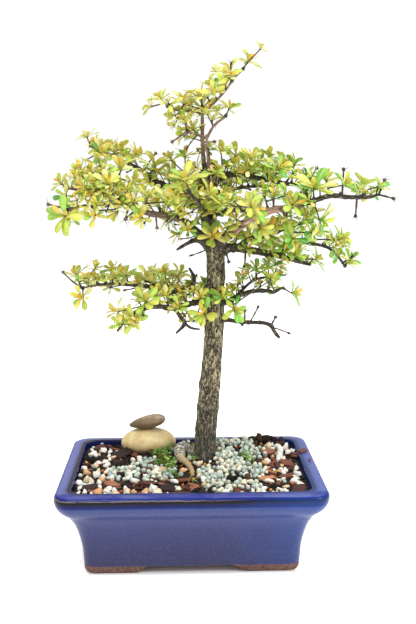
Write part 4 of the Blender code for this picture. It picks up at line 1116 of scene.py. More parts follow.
spiny = 0
for here, along in places_along(NO_SPURS, SPINY_STEP, {}, 4, wood_rng):
    side = off_limb(along, wood_rng.uniform(-1.9, 1.9))
    side = (side + along * wood_rng.uniform(0.2, 0.9)).normalized()
    tip = here.xyz + side * (here.w + wood_rng.uniform(*SPINY_REACH))
    if inside_box([tip + side * 2]):
        twig = smooth_line(bent_line(here.xyz, tip, SPINY_RADII, wood_rng.uniform(-0.1, 0.1)), 1.0)
        add_shape(wood, limb_shape(twig, 6, steady(0.3), wood_rng.uniform(0, 90)))
        star_of_spines(wood, tip - side * 0.6, side, wood_rng.choice((3, 4, 5)), wood_rng)
        spiny += 1
print(spiny, "spiny spurs; all the wood has", len(wood.faces), "faces")

# %% [markdown]
# The bark's finish. One material serves old and young wood, because the change along a limb is gradual. All
# patterns follow the grain that the points carry, stretched along the limb. Old bark is grey-brown with dark
# fissures and tan flakes where the outer layer has come off, and turns darker and greyer towards the soil.

# %% Old bark
FISSURE = (34, 30, 27)
FLAKE = (228, 214, 178)
PORE = (54, 48, 40)
LOW_TRUNK_GREY = (62, 65, 66)

bark = Finish("bark", 0.85)
youth, pale, rubbed = split(bark.carried("tint"))
grain_x, grain_y, grain_along = split(bark.carried("grain"))


def pulled(pull):
    """The grain in metres, with its patterns drawn out along the limb by a pull."""
    inputs = {"X": grain_x * MM, "Y": grain_y * MM, "Z": grain_along * (MM / pull)}
    return field(bark.tree, "Vector", "ShaderNodeCombineXYZ", inputs)


old_hue = ramp(cloud(pulled(2.6), 3.2, 5, 0.7),
               [(0.33, (52, 46, 35)), (0.44, (120, 108, 83)), (0.55, (202, 188, 148)), (0.66, (98, 94, 64))])
flake = band(cloud(pulled(2.2), 2.0, 4, 0.75), 0.55, 0.62)
old_hue = blend(flake * 0.85, old_hue, FLAKE)
pore = band(cloud(pulled(2), 0.8, 3, 0.7), 0.54, 0.62)
old_hue = blend(pore * 0.6, old_hue, PORE)
closed = band(abs(cloud(pulled(2.8), 3.0, 5, 0.66) - 0.5), 0.008, 0.075)
old_hue = blend(closed, FISSURE, old_hue)
_, _, up = split(bark.place)
# The bark is darker and greyer towards the soil.
at_foot = 1 - band(up, 0.07, 0.14)
old_hue = blend(at_foot * 0.6, old_hue, LOW_TRUNK_GREY)
print("old bark is drawn")

# %% [markdown]
# Limbs are nearly black with pale specks, twigs are smooth and reddish, and a stretch of some limbs is rubbed
# down to pinkish wood. The surface root is pale and chalky with dark rings, and tan where it is young.

# %% Limbs, twigs, root and rubbed wood
ROOT_RING = (70, 62, 52)
ROOT_TIP = (188, 166, 124)

short_grain = pulled(1.4)
limb_hue = ramp(cloud(short_grain, 1.7, 4, 0.7),
                [(0.34, (28, 25, 20)), (0.5, (58, 52, 42)), (0.6, (110, 101, 80)), (0.7, (190, 178, 148))])
twig_hue = ramp(cloud(pulled(4.5), 1.2, 4, 0.6),
                [(0.3, (78, 58, 50)), (0.5, (134, 106, 92)), (0.7, (178, 152, 132))])
rubbed_hue = ramp(cloud(pulled(7), 2.4, 4, 0.6),
                  [(0.34, (96, 70, 58)), (0.46, (176, 136, 114)), (0.58, (206, 172, 150)),
                   (0.68, (240, 224, 206))])
root_hue = ramp(cloud(short_grain, 2.2, 4, 0.65),
                [(0.32, (76, 68, 58)), (0.5, (182, 174, 158)), (0.66, (230, 224, 212))])
wave = cloud(short_grain, 4, 2) * 3 + grain_along * 2
root_hue = blend(band(calc("SINE", wave), 0.35, 0.85) * 0.7, root_hue, ROOT_RING)
root_hue = blend(band(youth, 0.35, 0.9), root_hue, ROOT_TIP)
hue = blend(band(youth, 0.02, 0.14), old_hue, limb_hue)
hue = blend(band(youth, 0.5, 0.86), hue, twig_hue)
hue = blend(rubbed, hue, rubbed_hue)
hue = blend(pale, hue, root_hue)
bark.feed("Base Color", hue)
bark.feed("Roughness", youth * -0.25 + 0.92)
bark.bump(closed * 0.6 + cloud(short_grain, 1.0, 4, 0.65), 0.35)
show("tree_wood", wood, [bark], ["trunk"])

# %% [markdown]
# The leaves. A black olive's leaf is shaped like a spoon: narrow at its foot, widest near its blunt, round
# tip, with a paler midrib. A small grid is drawn to that outline, arched and cupped, and given its thickness.
# Five such leaves differ in arch and cup, and every leaf on the tree is one of them, turned, drawn out and
# tinted.

# %% Five leaves to stamp
LEAF_LENGTH = 13.2
LEAF_WIDTH = 5.7
LEAF_SHEET = 0.35
LEAF_OUTLINE = ((0, 0.13), (0.3, 0.36), (0.56, 0.8), (0.77, 0.98), (0.93, 0.76), (1, 0.3))  # way along, width
LEAF_FORMS = (  # hump, droop and cup
    (0.03, 0.10, 0.00), (0.07, 0.13, 0.04), (0.02, 0.06, 0.10), (0.10, 0.16, -0.05), (0.05, 0.09, 0.16))
LEAF_ROWS = 2
CROWDED_FOOT = 0.25  # the foot of a leaf may touch its neighbours' in the bud


def leaf_point(way, width, across, form):
    """A point of a leaf of length and width 1. across runs from -1 to 1."""
    hump, droop, cup = form
    rise = hump * math.sin(math.pi * min(way * 1.15, 1)) - droop * way**2.5 + cup * across**2 * width * 0.3
    return Vector((way, across * width / 2, rise))


def make_leaf(form):
    """The cast of one leaf, and its middle sheet for testing what it would cross."""
    shape = new_shape()
    bmesh.ops.create_grid(shape, x_segments=len(LEAF_OUTLINE) - 1, y_segments=LEAF_ROWS, size=1,
                          calc_uvs=True)
    for point in shape.verts:
        way, width = LEAF_OUTLINE[round((point.co.x + 1) / 2 * (len(LEAF_OUTLINE) - 1))]
        point.co = leaf_point(way, width, point.co.y, form)
    points = [point.co.copy() for point in shape.verts]
    faces = [[point.index for point in face.verts] for face in shape.faces
             if face.calc_center_median().x > CROWDED_FOOT]
    bmesh.ops.solidify(shape, geom=shape.faces[:], thickness=LEAF_SHEET / LEAF_LENGTH)
    bmesh.ops.recalc_face_normals(shape, faces=shape.faces)
    return cast_of(shape), points, faces


LEAVES = [make_leaf(form) for form in LEAF_FORMS]
print("a leaf has", len(LEAVES[0][0].polygons), "faces")

# %% [markdown]
# Where the solids have their leaves. A rosette's axis follows its stem, upwards and a little away from the
# trunk. The solids hold up to four leaves of each rosette. Their draws are repeated here with the same seed,
# and a leaf's tip is looked for among the solid's points, so that each fine leaf lies on its solid one.

# %% Finding the leaves of the solids
SOLID_THICKNESS = 0.65
SOLID_DROOP = 0.09
SOLID_TRIES = 12
NEAR_ENOUGH = 0.04
FULL_ROSETTE = 0.82  # a solid rosette larger than this has a leaf on all four sides of its bud


def rosette_axis(centre, root):
    outward = Vector((centre.x - TRUNK_MIDDLE.x, centre.y - TRUNK_MIDDLE.y, 0)).normalized()
    return ((centre - root).normalized() + Vector((0, 0, 0.7)) + outward * 0.3).normalized()


def leaf_frame(base, axis, out, lift):
    """Where a leaf's foot stands and how its length, width and upper side are turned."""
    along = (out * math.cos(lift) + axis * math.sin(lift)).normalized()
    up = (axis * math.cos(lift) - out * math.sin(lift)).normalized()
    made = Matrix((along, up.cross(along), up)).transposed().to_4x4()
    made.translation = base
    return made


def solid_points(name):
    """The points of a solid shoot, in the pot's millimetres, ready to be searched."""
    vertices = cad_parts[name].data.vertices
    found = KDTree(len(vertices))
    for index, vertex in enumerate(vertices):
        found.insert((vertex.co - POT_MIDDLE) / MM, index)
    found.balance()
    return found


def solid_leaf(points, centre, axis, facing, size, rng):
    """The frame and size of the solid's leaf on one side of a bud, or nothing where it has none."""
    turn = rng.uniform(-0.3, 0.3)
    lift = rng.uniform(0.1, 0.85)
    scale = size * rng.uniform(0.88, 1.12)
    for attempt in range(SOLID_TRIES):
        swing = turn + 0.16 * (attempt % 3 - 1) if attempt else turn
        out = Matrix.Rotation(swing, 3, axis) @ facing
        seat = leaf_frame(centre, axis, out, (lift + 0.21 * attempt) % 1.15)
        length = scale * (1 - 0.025 * attempt)
        reach = LEAF_LENGTH * length
        tip = seat @ Vector((reach, 0, -SOLID_DROOP * reach + SOLID_THICKNESS / 2))
        if points.find(tip)[2] < NEAR_ENOUGH:
            return seat, length
    return None


print("the leaves of", len(SHOOTS), "solid shoots can be found again")

# %% [markdown]
# Hanging a leaf. Real leaves don't grow through each other, so each new one is tested against those that hang
# already: their middle sheets are kept in cells of space, and only those nearby are looked at.


# %% Hanging leaves clear of one another
class Crowd:
    """The leaves that hang already, in cells of space."""

    CELL = 15
    NEARBY = [(x, y, z) for x in (-1, 0, 1) for y in (-1, 0, 1) for z in (-1, 0, 1)]

    def __init__(self):
        self.cells = {}
        self.count = 0

    def home(self, centre):
        return tuple(math.floor(value / self.CELL) for value in centre)

    def add(self, centre, tree):
        self.cells.setdefault(self.home(centre), []).append(tree)
        self.count += 1

    def free(self, centre, tree):
        x, y, z = self.home(centre)
        return not any(tree.overlap(other) for step_x, step_y, step_z in self.NEARBY
                       for other in self.cells.get((x + step_x, y + step_y, z + step_z), ()))


def leaf_matrix(seat, size, broad):
    """Where a leaf of length and width 1 goes: drawn out to its size and turned into its frame."""
    length = LEAF_LENGTH * size
    return seat @ Matrix.Diagonal((length, LEAF_WIDTH * size * broad, length, 1))


hung = Crowd()


def hang_leaf(heap, seat, size, broad, tint, rng, must=False):
    """Stamps a leaf if it is clear of the others and inside the object's box, or always if it must be."""
    cast, points, faces = rng.choice(LEAVES)
    place = leaf_matrix(seat, size, broad)
    spots = [place @ point for point in points]
    tree = BVHTree.FromPolygons(spots, faces)
    centre = place @ Vector((0.5, 0, 0))
    if not must and not (inside_box(spots) and hung.free(centre, tree)):
        return False
    hung.add(centre, tree)
    stamp(heap, cast, place, tint)
    return True


def leaf_tint(rng, youth, place):
    """Hue from green to pale yellow, brightness, and youth, which turns a leaf golden. The right of the crown
    and the far left bunch are greener, and the newest growth at the very top is the palest."""
    side = share_of(place.x, -10, 110)
    low = share_of(place.z, 250, -40) * share_of(place.x, 0, 30)
    top = share_of(place.z, 315, 60)
    far_left = 0.36 if place.x < -88 and 245 < place.z < 290 else 0
    hue = share_of(rng.gauss(0.6 - 0.25 * max(side, 1.4 * low) + 0.14 * top - far_left, 0.24), 0, 1)
    # Leaves on the right are brighter and those on the left darker: painted light from the right.
    return hue, rng.random() * (0.7 + 0.3 * side), youth * rng.uniform(0.55, 1.0) * (1 - 0.25 * side)


print("a hung leaf is tested against", len(Crowd.NEARBY), "cells")

# %% [markdown]
# The shoots of the solids. Each has a short brown stem to every bud, a side stem that forks off on the way to
# the first one, and its fine leaves on the solid ones.

# %% Stems, buds and the leaves of the solids
STEM_RADIUS = 0.72
STEM_YOUTH = 0.62
SOLID_BREADTH = 0.92


def stem(heap, start, centre, thick):
    """A short brown stem that ends in a bud."""
    span = centre - start
    ahead = span.normalized()
    stations = ((start, 1), (start + span * 0.5, 0.85), (centre - ahead * 0.9, 0.8), (centre, 1.35),
                (centre + ahead * 1.1, 0.5))
    line = [Vector((*point, thick * share)) for point, share in stations]
    add_shape(heap, limb_shape(line, 6, steady(STEM_YOUTH), centre.x), 1)


shoots = {}
centres = []
sides_without = 0
for name, limb, rosettes in named_shoots():
    rng = random.Random(name)
    points = solid_points(name)
    _, _, start = shoot_line(limb, rosettes)
    fork = start.lerp(Vector(rosettes[0][:3]), FORK_SHARE)
    buds = []
    for index, (*place, size) in enumerate(rosettes):
        centre = Vector(place)
        stem_start = fork if index else start
        axis = rosette_axis(centre, stem_start)
        out = Matrix.Rotation(rng.uniform(0, math.tau), 3, axis) @ axis.orthogonal().normalized()
        buds.append((stem_start, centre, axis, out, size))
    heap = new_shape()
    looks = random.Random(name + " looks")
    for stem_start, centre, axis, out, size in buds:
        stem(heap, stem_start, centre, STEM_RADIUS)
        centres.append(centre)
        for side in range(4 if size > FULL_ROSETTE else 3):
            facing = Matrix.Rotation(side * math.pi / 2, 3, axis) @ out
            found = solid_leaf(points, centre, axis, facing, size, rng)
            if found:
                hang_leaf(heap, *found, SOLID_BREADTH, leaf_tint(looks, 0, centre), looks, must=True)
            else:
                sides_without += 1
    shoots[name] = (heap, looks, [bud[1:] for bud in buds])
print("leaves of the solids:", hung.count, "; sides of a bud without one:", sides_without)

# %% [markdown]
# More rosettes. The solids hold the larger shoots only, so smaller ones now come along every thin limb, up
# from the wood and away from the trunk, as its spurs do. They are close together in the tiers and far apart
# on the bare leaders. Each belongs to the nearest leafy shoot.

# %% Small rosettes along the limbs
SPUR_STEP = 4.6
LOOSE_STEPS = {"leader": 24, "leader_two": 24, "leader_two_left": 11, "leader_two_right": 12, "apex_left": 10,
               "apex_right": 10, "right_lower": 13, "right_lower_up": 8, "left_lower": 6, "left_lower_up": 6,
               "right_main": 13}
CLEAR_OF_OTHERS = 6.2
THICK_LIMB = 3.7
SPUR_TRIES = 2
SMALL_REACH = (3, 9)
SMALL_SIZES = (0.66, 1.0)
SMALL_STEM_RADIUS = 0.62
ROSETTE_ROOM = Vector((8, 8, 6))
BARE_LIMBS = ("trunk", "surface_root", "right_dead", "left_stub", "left_knot", "left_knot_twig", "fork_stub")

filler = random.Random("small rosettes")
nearest_shoot = [(Vector(rosettes[0][:3]), name) for name, _, rosettes in named_shoots()]
solid_buds = {name: len(rosettes) for name, _, rosettes in named_shoots()}
more = []
for here, along in places_along(BARE_LIMBS, SPUR_STEP, LOOSE_STEPS, 1.5, filler, THICK_LIMB):
    for _ in range(SPUR_TRIES):
        side = off_limb(along, filler.uniform(-1.7, 1.7))
        if side.z < 0 and filler.random() < 0.8:
            side.z = -side.z
        reach = filler.uniform(*SMALL_REACH)
        centre = here.xyz + side * (here.w + reach) + along * filler.uniform(0, 4)
        if any((centre - other).length < CLEAR_OF_OTHERS for other in centres):
            continue
        if not inside_box([centre + ROSETTE_ROOM, centre - ROSETTE_ROOM]):
            continue
        centres.append(centre)
        owner = min(nearest_shoot, key=lambda pair: (pair[0] - centre).length)[1]
        more.append((owner, here.xyz, centre, filler.uniform(*SMALL_SIZES)))

for owner, root, centre, size in more:
    heap, _, buds = shoots[owner]
    stem(heap, root, centre, SMALL_STEM_RADIUS)
    axis = rosette_axis(centre, root)
    buds.append((centre, axis, axis.orthogonal().normalized(), size))
print(len(more), "small rosettes")

# %% [markdown]
# Filling the rosettes. When every stem stands, each bud gets its whorls as the real one has them: open leaves
# all round, high and low by turns, then small upright young ones in the middle. A leaf that would cross
# another is tried again, turned and smaller, and left out in the end.

# %% Filling every rosette
LEAF_TURN = 2.4  # from each leaf to the next, about the golden angle
OPEN = {"tries": 5, "sway": 0.3, "lifts": ((0.45, 0.95), (0.0, 0.5)), "sizes": (0.62, 1.05), "shrink": 0.07,
        "widths": (0.78, 0.98), "out_mm": 0.5, "up_mm": 0, "youth": 0}
YOUNG = {"tries": 3, "sway": 0.5, "lifts": ((0.9, 1.35),), "sizes": (0.4, 0.85), "shrink": 0,
         "widths": (0.7, 0.95), "out_mm": 0, "up_mm": 0.6, "youth": 1}
OPEN_BESIDE_SOLID = 5  # open leaves to try where the solids have some already
OPEN_ALONE = 7
YOUNG_COUNTS = (3, 4, 4, 5)


def whorl(heap, bud, rng, first, count, tries, sway, lifts, sizes, shrink, widths, out_mm, up_mm, youth):
    """Up to count leaves round a bud, each LEAF_TURN on from the last."""
    centre, axis, out, size = bud
    for index in range(count):
        for attempt in range(tries):
            swing = first + index * LEAF_TURN + rng.uniform(-sway, sway)
            facing = Matrix.Rotation(swing, 3, axis) @ out
            lift = rng.uniform(*lifts[index % len(lifts)])
            seat = leaf_frame(centre + facing * out_mm + axis * up_mm, axis, facing, lift)
            scale = size * rng.uniform(*sizes) * (1 - shrink * attempt)
            if hang_leaf(heap, seat, scale, rng.uniform(*widths), leaf_tint(rng, youth, centre), rng):
                break


for name, (heap, looks, buds) in shoots.items():
    for index, bud in enumerate(buds):
        first = looks.uniform(0, math.tau)
        whorl(heap, bud, looks, first, OPEN_BESIDE_SOLID if index < solid_buds[name] else OPEN_ALONE, **OPEN)
        whorl(heap, bud, looks, first, looks.choice(YOUNG_COUNTS), **YOUNG)
print(hung.count, "leaves hang on the tree")

# %% [markdown]
# The leaf's finish. Each leaf's own tint picks its hue, from a fresh green to a pale yellow, and young ones
# are golden or bronze. The midrib and side veins, paler than the blade, follow the leaf's own map, and a
# cloud finer than the leaf makes each blade uneven. The gloss is low and waxy.

# %% Leaf green
RIB = (228, 232, 160)
VEIN = (214, 222, 140)

leaf_green = Finish("leaf", 0.36)
own_hue, tone_and_side_light, young = split(leaf_green.carried("tint"))
way, across, _ = split(field(leaf_green.tree, "UV", "ShaderNodeUVMap", uv_map="surface"))
# The right of the crown is really greener, and these greens are made brighter than its own colour: painted
# light on that side.
hue = ramp(own_hue, [(0.0, (96, 176, 58)), (0.3, (176, 216, 80)), (0.55, (212, 216, 84)),
                     (0.78, (228, 222, 108)), (1.0, (240, 240, 162))])
golden = ramp(tone_and_side_light, [(0.0, (228, 214, 88)), (0.5, (234, 194, 64)), (0.86, (224, 162, 56)),
                          (1.0, (208, 122, 60))])
hue = shade(blend(band(young, 0.3, 0.85), hue, golden), tone_and_side_light, 0.26)
off_middle = abs(across - 0.5)
rib = 1 - band(off_middle, 0.015, 0.05)
veins = band(calc("SINE", (way - off_middle * 0.5) * 46), 0.75, 1.0)
hue = blend(rib * 0.5, hue, RIB)
hue = blend(veins * 0.16, hue, VEIN)
patch = cloud(leaf_green.place, 2.4, 3)
leaf_green.feed("Base Color", shade(hue, patch, 0.1))
leaf_green.bump(patch - rib * 0.6, 0.12)

for name, (heap, _, _) in shoots.items():
    show("leaves_" + name.removeprefix("shoot_"), heap, [leaf_green, bark], [name])

# %% [markdown]
# The soil. Bonsai mix is mineral: under the loose grains lies a dark, crumbly body of composted bark. Its
# surface is a fine grid bent over the same mounds as the solid's, roughened by two sizes of noise, and drawn
# down inside the pot's wall to its floor.

# %% The body of the soil
SOIL_EDGE_HEIGHT = 63
SOIL_INSET = 12.5
SOIL_CORNER = 10
SOIL_COLUMNS = 110
SOIL_ROWS = 76
SOIL_WALL = ((13.7, 58.5), (21.4, 43), (25.2, 30), (30.4, 12.6))  # inset and height, down the pot's inside
MOUNDS = ((11, 22, 27, 4.2), (48, 46, 24, 4.2), (-36, 44, 24, 3.0))  # x, y, spread and rise of each mound


def soil_height(x, y):
    height = SOIL_EDGE_HEIGHT + 0.8
    for mound_x, mound_y, spread, rise in MOUNDS:
        height += rise * math.exp(-((x - mound_x) ** 2 + (y - mound_y) ** 2) / (2 * spread**2))
    height += 1.3 * noise.noise(Vector((x / 11, y / 11, 0.3)))
    return height + 0.7 * noise.noise(Vector((x / 2.7, y / 2.7, 4.1)))


def held_in_corner(x, y, half_x, half_y, radius):
    """Pulls a point back inside a rectangle with round corners."""
    over = Vector((max(abs(x) - half_x + radius, 0), max(abs(y) - half_y + radius, 0)))
    if over.length <= radius:
        return x, y
    over *= 1 - radius / over.length
    return x - math.copysign(over.x, x), y - math.copysign(over.y, y)


soil = new_shape()
half_x = POT_WIDTH / 2 - SOIL_INSET
half_y = POT_DEPTH / 2 - SOIL_INSET
bmesh.ops.create_grid(soil, x_segments=SOIL_COLUMNS, y_segments=SOIL_ROWS, size=1)
for point in soil.verts:
    x, y = held_in_corner(point.co.x * half_x, point.co.y * half_y, half_x, half_y, SOIL_CORNER)
    point.co = Vector((x, y, soil_height(x, y)))
edges = [edge for edge in soil.edges if edge.is_boundary]
for inset, height in SOIL_WALL:
    inner_x = POT_WIDTH / 2 - inset
    inner_y = POT_DEPTH / 2 - inset
    fresh, edges = extrude_loop(soil, edges)
    for point in fresh:
        point.co = Vector((point.co.x * inner_x / half_x, point.co.y * inner_y / half_y, height))
    half_x = inner_x
    half_y = inner_y
close_up(soil)

earth = Finish("potting_soil", 0.95)
base, crumb_height = mottle(earth.place, 1.6, (18, 12, 10), (52, 36, 28))
fleck = band(cloud(earth.place, 1.1, 3, 0.7), 0.62, 0.68)
earth.feed("Base Color", blend(fleck * 0.6, base, (128, 92, 66)))
earth.bump(crumb_height, 0.8)
show("soil_body", soil, [earth], ["soil"])

# %% [markdown]
# What lies on the soil. Round fertiliser prills are heaped to the right of the trunk and in a drift at the
# left front, white lumps of perlite and pumice lie all over, and between them are flat chips of bark and dark
# crumbs. Each kind is cast two or three times, pushed out of round by noise, and stamped over and over. The
# largest pieces have places of their own. The rest are placed by a seeded throw of darts that keeps the
# grains apart. The noise that frays a chip is drawn anew in each run unless it is seeded, so it gets a seed.

# %% Grains to stamp
CHIP_SEED = 5


def rough_ball(detail, seed, amount, stretch=(1, 1, 1), broken_at=0.0):
    """A ball of radius 1 pushed in and out, a rolled grain, or cut flat above a height, a broken one."""
    shape = new_shape()
    bmesh.ops.create_icosphere(shape, subdivisions=detail, radius=1)
    for point in shape.verts:
        push = noise.noise(point.co * 1.3 + Vector((seed, seed, seed))) * amount
        point.co = Vector([value * by for value, by in zip(point.co * (1 + push), stretch)])
    if broken_at:
        bmesh.ops.bisect_plane(shape, geom=shape.verts[:] + shape.edges[:] + shape.faces[:],
                               plane_co=(0, 0, broken_at), plane_no=(0.2, 0.1, 1), clear_outer=True)
        close_up(shape)
    return cast_of(shape)


def chip_cast(seed):
    """A flat splinter of bark with broken ends."""
    shape = new_shape()
    bmesh.ops.create_cube(shape, size=2)
    bmesh.ops.subdivide_edges(shape, edges=shape.edges[:], cuts=3, use_grid_fill=True)
    for point in shape.verts:
        ragged = noise.noise_vector(point.co * 1.1 + Vector((seed, 2 * seed, seed))) * 0.42
        point.co = Vector((point.co.x * (1 - 0.18 * abs(point.co.y)), point.co.y, point.co.z)) + ragged
    return cast_of(shape)


PRILL_CASTS = [rough_ball(2, seed, 0.08) for seed in (1, 5)]
PERLITE_CASTS = [rough_ball(2, seed, 0.85, stretch, 0.6)
                 for seed, stretch in ((2, (1.2, 0.9, 0.8)), (7, (1, 1.1, 0.75)), (11, (1.3, 0.8, 0.7)))]
CRUMB_CASTS = [rough_ball(1, seed, 0.9) for seed in (3, 9)]
LUMP_CASTS = [rough_ball(2, seed, 1.1, (1.2, 1, 0.8)) for seed in (6, 14)]
noise.seed_set(CHIP_SEED)
CHIP_CASTS = [chip_cast(seed) for seed in (4, 8, 13)]
print("a prill has", len(PRILL_CASTS[0].polygons), "faces, a chip", len(CHIP_CASTS[0].polygons))

# %% [markdown]
# Where each kind lies. The large single pieces are listed one by one. The rest is thrown in fields, which are
# ellipses: x, y, half width, half depth and how many grains.

# %% Places and fields
FIELD_X = 91.7  # half the width of the bed, and below it half its depth
FIELD_Y = 61.8
KEPT_FREE = ((12, 21, 12.5), (-9, 15, 7), (-6, 23, 7), (-37, 46, 17), (-24, 47, 13), (-50, 47, 13),
             (-23, 10, 7), (-23, 20, 7), (-23, 27, 6))  # x, y and radius, under tree, stones and moss
BIG_CHIPS = ((-79, -45), (-73, -50), (-63, -35), (-34, -36), (-19, -47), (-11, -56), (60, -26), (80, 9),
             (51, 55), (76, -20), (81, 56), (82, -52), (-39, -6), (-80, 52), (-6, -30), (36, -49), (66, 30),
             (-60, 30))
DARK_LUMPS = ((60, 57), (66, 58), (73, 57), (81, 57), (-55, -15), (23, -47), (38, -25), (3, -56), (-36, 33),
              (-56, 36), (-82, 20), (31, -28), (16, -52), (44, -28))
HEAPED_LUMPS = ((57, 56, 3.6, 3.6), (62, 57, 4.2, 4.4), (68, 57, 3.8, 4.4), (74, 57, 3.4, 3.2),
                (71, 52, 3.4, 2.6))  # x, y, size and how high over the soil
RIM_TOP = 69
RIM_BITS = ((96.5, 27, 3.4), (99, 4, 1.0))  # x, y and size of the two chips on the right rim
WHOLE_BED = (0, 0, 91, 61)
PRILL_FIELDS = ((23, 51, 11, 9, 50), (43, 48, 12, 10, 46), (54, 26, 11, 11, 54), (49, -10, 12, 14, 62),
                (44, -42, 12, 10, 48), (24, -48, 13, 10, 50), (18, -20, 13, 14, 66), (28, 14, 11, 16, 62),
                (36, -2, 9, 12, 40), (-54, -12, 14, 15, 42), (-36, 2, 14, 13, 48), (-25, -15, 12, 12, 28))
STRAY_PRILLS = (*WHOLE_BED, 40)
PERLITE_FIELDS = ((*WHOLE_BED, 84), (-76, -40, 18, 24, 18), (-78, 20, 14, 38, 18), (-52, -54, 34, 8, 16),
                  (74, -20, 16, 40, 18), (52, 60, 40, 5, 14), (79, 36, 12, 20, 10))
CHIP_FIELDS = ((*WHOLE_BED, 30), (74, 10, 16, 46, 16), (-30, -48, 56, 14, 14), (-60, 20, 30, 30, 8))
FRESH_FIELDS = ((*WHOLE_BED, 34), (-72, 20, 16, 30, 10), (-30, -40, 34, 16, 12), (8, 0, 16, 34, 12))
CRUMB_FIELDS = ((*WHOLE_BED, 2100),)
print(sum(row[4] for row in PRILL_FIELDS), "prills are thrown in", len(PRILL_FIELDS), "drifts")

# %% [markdown]
# Throwing darts. A dart that lands on the trunk, the root, a stone or the moss, or too near another grain, is
# thrown again, until it has had eight throws. Grains of a second level may lie over those of the first.

# %% Throwing and laying grains
thrower = random.Random("grains")
DART_TRIES = 8
SPREAD_TO_CORNERS = 1.3  # an ellipse over the whole bed is stretched, so that its corners are filled too


class Darts:
    """Places on the soil, kept apart from one another by their own radii."""

    CELL = 9
    CLOSE = 0.93  # grains may come this much of their radii together

    def __init__(self):
        self.cells = {}

    def clear(self, x, y, radius, level):
        home_x = math.floor(x / self.CELL)
        home_y = math.floor(y / self.CELL)
        for cell in [(home_x + step_x, home_y + step_y) for step_x in (-1, 0, 1) for step_y in (-1, 0, 1)]:
            for other_x, other_y, other, high in self.cells.get(cell, ()):
                if high == level and math.hypot(x - other_x, y - other_y) < (radius + other) * self.CLOSE:
                    return False
        self.cells.setdefault((home_x, home_y), []).append((x, y, radius, level))
        return True


darts = Darts()


def on_the_soil(x, y, size):
    if held_in_corner(x, y, FIELD_X - size, FIELD_Y - size, 9) != (x, y):
        return False
    return not any(math.hypot(x - free_x, y - free_y) < reach + size * 0.4
                   for free_x, free_y, reach in KEPT_FREE)


def throw(fields, sizes, level=0, spare=1.0):
    """Yields places for grains of the given sizes in elliptical fields."""
    for middle_x, middle_y, reach_x, reach_y, count in fields:
        square = SPREAD_TO_CORNERS if reach_x > 60 else 1
        for _ in range(round(count * spare)):
            size = thrower.uniform(*sizes)
            for _ in range(DART_TRIES):
                angle = thrower.uniform(0, math.tau)
                far = math.sqrt(thrower.random())
                x = middle_x + math.cos(angle) * far * reach_x * square
                y = middle_y + math.sin(angle) * far * reach_y * square
                if on_the_soil(x, y, size) and darts.clear(x, y, size, level):
                    yield x, y, size
                    break


def lay(heap, casts, x, y, size, rise, flat=math.pi):
    """Stamps a grain at a place on the soil, turned any way, or only a little for a flat one."""
    tint = (thrower.random(), thrower.random(), thrower.random())
    turn = (Matrix.Rotation(thrower.uniform(0, math.tau), 4, "Z")
            @ Matrix.Rotation(thrower.uniform(-flat, flat), 4, "X")
            @ Matrix.Rotation(thrower.uniform(-flat, flat), 4, "Y"))
    place = Matrix.Translation((x, y, soil_height(x, y) + rise)) @ turn @ Matrix.Diagonal((*size, 1))
    stamp(heap, thrower.choice(casts), place, tint)


print("the bed is", 2 * FIELD_X, "by", 2 * FIELD_Y, "mm")

# %% [markdown]
# The order of laying. The large pieces come first, so that the small ones fill the room between them: chips
# and lumps, then perlite and small chips, then the prills with a second layer on their drifts, and last the
# fresh wood and the crumbs that fill every gap.

# %% Laying every kind
BIG_CHIP_SIZES = (3.6, 5.4)
LUMP_SIZES = (2.6, 4.2)
PERLITE_SIZES = (1.5, 3.5)
CHIP_SIZES = (1.3, 2.6)
PRILL_SIZES = (1.55, 2.15)
TOP_PRILL_SIZES = (1.5, 2.1)
FRESH_SIZES = (0.9, 1.8)
CRUMB_SIZES = (0.7, 2.3)
SECOND_LAYER = 2.4

chips = new_shape()
for x, y in BIG_CHIPS:
    size = thrower.uniform(*BIG_CHIP_SIZES)
    darts.clear(x, y, size, 0)
    lay(chips, CHIP_CASTS, x, y, (size * thrower.uniform(1.1, 1.7), size, 1.0), 1.6, 0.25)
for x, y, size in RIM_BITS:
    lay(chips, CHIP_CASTS, x, y, (size * 1.3, size * 0.8, 0.6), RIM_TOP + 0.7 - soil_height(x, y), 0.1)
lumps = new_shape()
for x, y in DARK_LUMPS:
    size = thrower.uniform(*LUMP_SIZES)
    darts.clear(x, y, size, 0)
    lay(lumps, LUMP_CASTS, x, y, (size, size, size), 1.2)
for x, y, size, rise in HEAPED_LUMPS:
    lay(lumps, LUMP_CASTS, x, y, (size, size * 0.8, size * 0.8), rise)
perlite = new_shape()
for x, y, size in throw(PERLITE_FIELDS, PERLITE_SIZES):
    lay(perlite, PERLITE_CASTS, x, y, (size, size, size), size * 0.45)
for x, y, size in throw(CHIP_FIELDS, CHIP_SIZES):
    lay(chips, CHIP_CASTS, x, y, (size * thrower.uniform(1.2, 2.6), size, 0.6),
        thrower.uniform(0.8, 2.2), 0.4)
prills = new_shape()
for x, y, size in throw((*PRILL_FIELDS, STRAY_PRILLS), PRILL_SIZES):
    lay(prills, PRILL_CASTS, x, y, (size, size, size), size * 0.65)
for x, y, size in throw(PRILL_FIELDS, TOP_PRILL_SIZES, level=1, spare=0.3):
    lay(prills, PRILL_CASTS, x, y, (size, size, size), size * 0.65 + SECOND_LAYER)
fresh = new_shape()
for x, y, size in throw(FRESH_FIELDS, FRESH_SIZES):
    lay(fresh, CRUMB_CASTS, x, y, (size * 1.2, size * 0.8, size * 0.7), size * 0.6)
crumbs = new_shape()
for x, y, size in throw(CRUMB_FIELDS, CRUMB_SIZES):
    lay(crumbs, CRUMB_CASTS, x, y, (size * 1.2, size, size * 0.8), size * 0.2)
print("the prills have", len(prills.faces), "faces, the crumbs", len(crumbs.faces))

